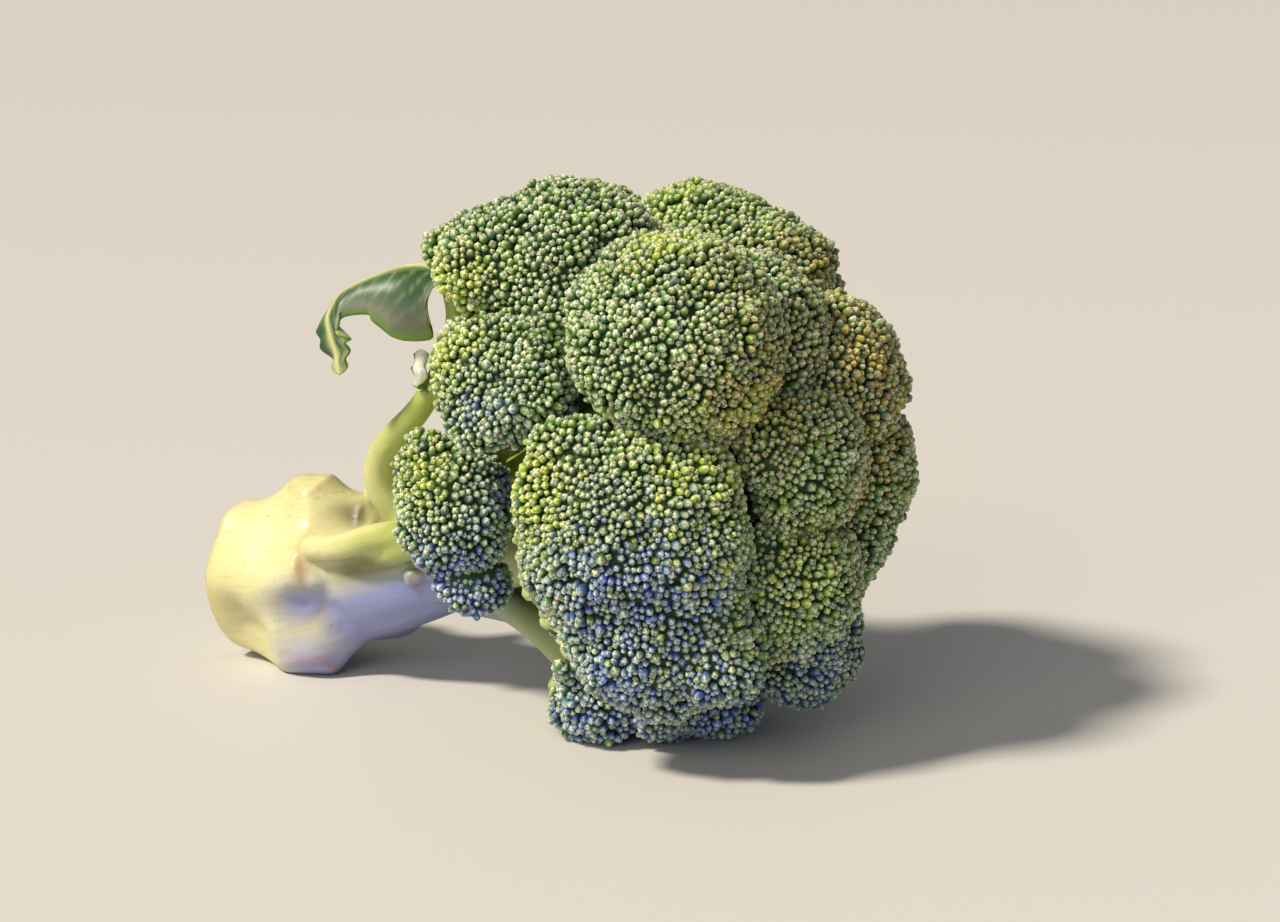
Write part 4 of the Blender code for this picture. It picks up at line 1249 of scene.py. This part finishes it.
def build_stalk(florets, skin):
    """The melted stalk with its dent, its sunken cut end and the marks that its skin reads."""
    stalk = melt_stalk(florets)
    places = corners_of(stalk) / MM
    backs = np.arange(STALK_TOP, STALK_CUT, RIND_STEP)
    axis = stalk_place(backs)
    nearest = nearest_of(places, axis)
    back = backs[nearest]
    offset = places - axis[nearest]
    upward = -np.cross(stalk_direction(back), FRONT)
    bearing = np.degrees(np.arctan2(offset @ FRONT, np.einsum("ij,ij->i", offset, upward)))
    reach = np.linalg.norm(offset, axis=1)
    rims = rim_marks(places, back, bearing, reach)
    # Blue-violet: partly the wax bloom, partly painted cool shade in the hollow, down the sides and near the
    # floor
    bloom = bloom_and_cool_shade(places, back, bearing)
    green = fresh_green(places, back, bearing, reach)
    low_down = fade(reach, *TRUNK_SURFACE)
    # Painted shade in the hollows and under the side branch, on the trunk's own surface
    olive_shade = low_down * np.max([spot(back, bearing, *shade) for shade in OLIVE_PAINTED_SHADES], axis=0)
    cut_way = stalk_direction(STALK_CUT)
    before_cut = (places - stalk_place(STALK_CUT)) @ cut_way
    cut_end = 1 - fade(before_cut, *CUT_FACE)
    share = reach / np.maximum(rind_radius(back, bearing), 1)
    sunk = cut_end * CUT_SUNK * np.clip(CUT_MIDDLE - CUT_FLATTENING * share**2, 0, 1)
    dent = low_down * spot(back, bearing, *DENT)
    places = places + sunk[:, None] * cut_way - (dent / np.maximum(reach, 1))[:, None] * offset
    places[:, 2] = np.maximum(places[:, 2], 0.0)
    put_corners(stalk, places)
    grain = (FIBRES_ACROSS * offset[:, 1], FIBRES_ACROSS * offset[:, 2], back / FIBRE_LENGTH)
    attributes = {"marks": (rims, bloom, green), "tints": (olive_shade, cut_end, share), "grain": grain}
    for attribute, columns in attributes.items():
        set_attribute(stalk, attribute, np.stack(columns, axis=1))
    stalk.data.materials.clear()
    stalk.data.materials.append(skin)
    return finish("stalk_and_branches", stalk, "stalk")


BLADE_GRID = (72, 28)
LEAF_CLEARANCE = 1.2    # from the shoot to where a blade starts
STATION_CORNERS = ((-0.8, 1), (-0.4, 2), (0, 3), (0.4, 2), (0.8, 1))    # step and weight
LEAF_WAVE = 0.12        # of the blade's edge, as a share of its width
WAVE_TURN = 2.1
LEAF_TWIST = 50.0       # by how many degrees a blade turns about its midrib towards its tip
TWIST_RATE = 4.0        # over a quarter of its length, from 2.1 quarters on
TWIST_WAIT = 2.1
LEAF_CREASE = 0.2       # the share of a half's droop at its midrib, and what it gains to its edge
LEAF_BEND = 1.6
BLADE_THICKNESS = 0.7
BLADE_RIPPLE = 0.7
RIPPLE_TURNS = (4.1, 2.0)   # along the stations and across the blade
BLADE_LENGTH = 45.0
VEIN_PITCH = 3.6
VEIN_SLANT = 0.8
VEIN_WIDTH = 0.4
VEIN_STRENGTH = 0.35
MIDRIB_WIDTH = 1.3
FAR_HALF_FADE = 0.4     # the far half is coloured as this share of the near half
# The leaf's own stalk: radius where it starts and what that loses, how soon, how far it starts
# inside the shoot and sinks below the midrib, and how many stations it stops before the tip
PETIOLE_GRID = (40, 12)
PETIOLE_RADIUS = 1.9
PETIOLE_LOSS = 1.6
PETIOLE_TAPER = 1.5
PETIOLE_ROOTED = 0.5
PETIOLE_SUNK = 0.5
PETIOLE_SHORT = 6
# Share of the way up the shoot, side towards which it leaves the shoot, where its near half faces,
# and stations: distance out, height, then width and droop of the near half and of the far one
LEAVES = {
    "leaf_arched": (1.0, (-0.2, -0.1, 1.0), 32.0, (
        (0.0, 0.0, 0.9, 0, 0.9, 0), (2.5, 1.8, 5.0, 25, 4.0, 25), (5.5, 2.8, 22.5, 82, 8.0, 55),
        (10.0, 2.8, 23.5, 80, 9.0, 50), (15.0, 1.4, 15.5, 72, 9.0, 45), (20.0, -0.8, 9.5, 62, 8.5, 40),
        (24.0, -2.4, 8.0, 55, 8.5, 40), (27.5, -5.4, 10.0, 45, 8.5, 35), (29.5, -9.5, 9.5, 30, 7.0, 30),
        (29.0, -13.5, 7.0, 15, 4.6, 20), (27.5, -17.5, 5.0, 5, 3.6, 10), (27.0, -21.0, 2.8, 0, 2.2, 0),
        (27.0, -24.5, 0.3, 0, 0.3, 0),
    )),
    "leaf_small": (0.56, (0.1, -0.95, 0.3), 50.0, (
        (0.0, 0.0, 0.9, 20, 0.9, 20), (0.8, 2.5, 3.6, 35, 2.5, 35), (1.2, 5.0, 4.6, 40, 3.0, 40),
        (0.8, 8.0, 4.0, 45, 2.6, 45), (-0.6, 10.5, 1.4, 50, 1.4, 50),
    )),
}


def leaf_stations(table, along):
    """The stations' numbers at shares along a leaf, with their corners rounded off."""
    table = np.array(table, dtype=float)
    at = along * (len(table) - 1)
    knots = np.arange(len(table))
    smooth = []
    for column in table.T:
        sides = [np.interp(at + step, knots, column) for step, _ in STATION_CORNERS]
        smooth.append(np.average(sides, axis=0, weights=[weight for _, weight in STATION_CORNERS]))
    return at, smooth


def build_leaf(name, leaf, materials):
    """A leaf's folded blade and its stalk, which grows out of the leafy shoot."""
    share, side, facing, stations = leaf
    facing = math.radians(facing)
    near = np.array([math.sin(facing), -math.cos(facing), 0.0])
    out = np.array([-math.cos(facing), -math.sin(facing), 0.0])
    side = unit(np.array(side))
    reach = LEAF_CLEARANCE + (shoot_radius(share) if share < 1 else 0.0)
    root = shoot_place(share) + reach * side
    bpy.ops.object.select_all(action="DESELECT")
    lengthwise, crosswise = BLADE_GRID
    bpy.ops.mesh.primitive_grid_add(x_subdivisions=lengthwise, y_subdivisions=crosswise, size=2.0)
    blade = bpy.context.object
    flat = corners_of(blade)
    along, across = (flat[:, 0] + 1) / 2, flat[:, 1]
    at, (far_out, height, near_wide, near_droop, far_wide, far_droop) = leaf_stations(stations, along)
    turned = across >= 0
    wide = np.where(turned, near_wide, far_wide)
    droop = np.radians(np.maximum(np.where(turned, near_droop, far_droop), 1.0))
    apart = np.abs(across)
    first, last = LEAF_CREASE * droop, (LEAF_CREASE + LEAF_BEND * apart) * droop
    level = wide * (np.sin(last) - np.sin(first)) / (LEAF_BEND * droop)
    down = wide * (np.cos(first) - np.cos(last)) / (LEAF_BEND * droop)
    wave = LEAF_WAVE * wide * np.sin(WAVE_TURN * at) * apart**2
    wave = wave + BLADE_RIPPLE * np.sin(RIPPLE_TURNS[0] * at + RIPPLE_TURNS[1] * across) * apart
    midrib = root + far_out[:, None] * out + height[:, None] * UP
    twist = np.radians(LEAF_TWIST) * np.clip(TWIST_RATE * along - TWIST_WAIT, 0, 1)[:, None]
    sideways = np.where(turned, 1.0, -1.0)[:, None] * (np.cos(twist) * near - np.sin(twist) * out)
    places = midrib + level[:, None] * sideways - down[:, None] * UP + wave[:, None] * out
    put_corners(blade, places)
    slant = (along * BLADE_LENGTH - VEIN_SLANT * apart * wide) / VEIN_PITCH
    vein = np.exp(-(((slant - np.rint(slant)) * VEIN_PITCH / VEIN_WIDTH) ** 2)) * (1 - apart)
    middle = np.exp(-((apart * wide / MIDRIB_WIDTH) ** 2))
    set_attribute(blade, "rib", np.clip(np.maximum(VEIN_STRENGTH * vein, middle), 0, 1))
    set_attribute(blade, "out", np.where(turned, apart, FAR_HALF_FADE * apart))
    for material in materials:
        blade.data.materials.append(material)
    thick = blade.modifiers.new("thickness", "SOLIDIFY")
    thick.thickness = BLADE_THICKNESS * MM
    thick.offset = 0.0
    thick.material_offset = 1
    only(blade)
    bpy.ops.object.modifier_apply(modifier=thick.name)
    spine = [shoot_place(share) - PETIOLE_ROOTED * side]
    spine += [root + x * out + z * UP for x, z, *_ in stations]
    spine = np.array(spine[:max(3, len(spine) - PETIOLE_SHORT)])
    petiole = limb_tube("petiole", lambda t: smooth_route(spine, t) - PETIOLE_SUNK * t * UP,
                        lambda t: PETIOLE_RADIUS - PETIOLE_LOSS * min(PETIOLE_TAPER * t, 1.0), *PETIOLE_GRID)
    set_attribute(petiole, "rib", np.ones(len(petiole.data.vertices)))
    set_attribute(petiole, "out", np.zeros(len(petiole.data.vertices)))
    petiole.data.materials.append(materials[0])
    whole = join(name, [blade, petiole])
    return finish(name.replace("leaf_", "") + "_leaf", whole, name)


# The camera, turned from the front and tilted down, with its aim moved off the crown's centre
CAMERA_AZIMUTH = 32.0
CAMERA_ELEVATION = 12.0
CAMERA_DISTANCE = 685.0
CAMERA_RIGHT = 2.9
CAMERA_DOWN = 1.45
CAMERA_LENS = 80.0
CAMERA_SENSOR = 36.0
# The stage, in metres and watts
FLOOR_SIZE = 200.0
ROOM_TINT = "#E2E4E6"
ROOM_STRENGTH = 0.3
KEY_FROM = (-0.55, -0.85, 1.15)
KEY_TINT = "#FFF6E8"
KEY_STRENGTH = 4.4
KEY_SPREAD = 9.0        # degrees across, for soft-edged shadows
LIGHT_TARGET = (0.01, 0.0, 0.06)
# name, place, size, power, tint
LIGHTS = (
    ("front_softbox", (0.4, -3.6, 1.8), 2.0, 38.0, "#FFF6E6"),
    ("low_cool_fill", (1.4, -3.2, 0.9), 1.6, 16.0, "#6E92FF"),
)


def build_stage():
    """A plain pale floor, soft studio lights and the camera."""
    bpy.ops.object.select_all(action="DESELECT")
    bpy.ops.mesh.primitive_plane_add(size=FLOOR_SIZE)
    floor = bpy.context.object
    floor.name = "pale_floor"
    paint, _, _ = new_material("pale_matte_floor", Base_Color=colour("#C9C6BF"), Roughness=0.6)
    floor.data.materials.append(paint)
    for name, place, size, power, tint in LIGHTS:
        lamp = bpy.data.lights.new(name, "AREA")
        lamp.size = size
        lamp.energy = power
        lamp.color = colour(tint)[:3]
        light = bpy.data.objects.new(name, lamp)
        light.location = place
        light.rotation_euler = (Vector(LIGHT_TARGET) - light.location).to_track_quat("-Z", "Y").to_euler()
        bpy.context.scene.collection.objects.link(light)
    sun = bpy.data.lights.new("key_light", "SUN")
    sun.energy = KEY_STRENGTH
    sun.angle = math.radians(KEY_SPREAD)
    sun.color = colour(KEY_TINT)[:3]
    key = bpy.data.objects.new("key_light", sun)
    key.rotation_euler = Vector(KEY_FROM).to_track_quat("Z", "Y").to_euler()
    bpy.context.scene.collection.objects.link(key)
    world = bpy.data.worlds.new("soft_room")
    world.use_nodes = True
    room = world.node_tree.nodes["Background"]
    room.inputs["Color"].default_value = colour(ROOM_TINT)
    room.inputs["Strength"].default_value = ROOM_STRENGTH
    bpy.context.scene.world = world
    bpy.context.scene.view_settings.view_transform = "Standard"
    lens = bpy.data.cameras.new("camera")
    lens.lens = CAMERA_LENS
    lens.sensor_width = CAMERA_SENSOR
    camera = bpy.data.objects.new("camera", lens)
    turn, climb = math.radians(CAMERA_AZIMUTH), math.radians(CAMERA_ELEVATION)
    away = np.array([math.sin(turn) * math.cos(climb), -math.cos(turn) * math.cos(climb), math.sin(climb)])
    right = np.array([math.cos(turn), math.sin(turn), 0.0])
    aim = CROWN_CENTRE + CAMERA_RIGHT * right - CAMERA_DOWN * np.cross(away, right)
    camera.location = Vector((aim + CAMERA_DISTANCE * away) * MM)
    camera.rotation_euler = Vector(-away).to_track_quat("-Z", "Y").to_euler()
    bpy.context.scene.collection.objects.link(camera)
    bpy.context.scene.camera = camera


florets = plan_florets()
bud_shapes = [model_bud(*shape) for shape in BUD_SHAPES]
floret_materials = (waxy_bud_skin(), flesh_and_shade_between_buds(), pale_stem_skin())
for index, floret in enumerate(florets):
    dress_floret(index, floret, florets, bud_shapes, floret_materials)
build_stalk(florets, stalk_skin())
# Each face of a leaf: blade in two shades, veins, greyer band, edge
leaf_materials = (
    leaf_skin("leaf_upper_skin", "#12331C", "#335F2B", "#C3C584", "#8C8A74", "#6E9A2F"),
    leaf_skin("leaf_under_skin", "#8C9C84", "#B7B4A4", "#D8D6B4", "#A5A192", "#9DB25A"),
)
for name, leaf in LEAVES.items():
    build_leaf(name, leaf, leaf_materials)
build_stage()
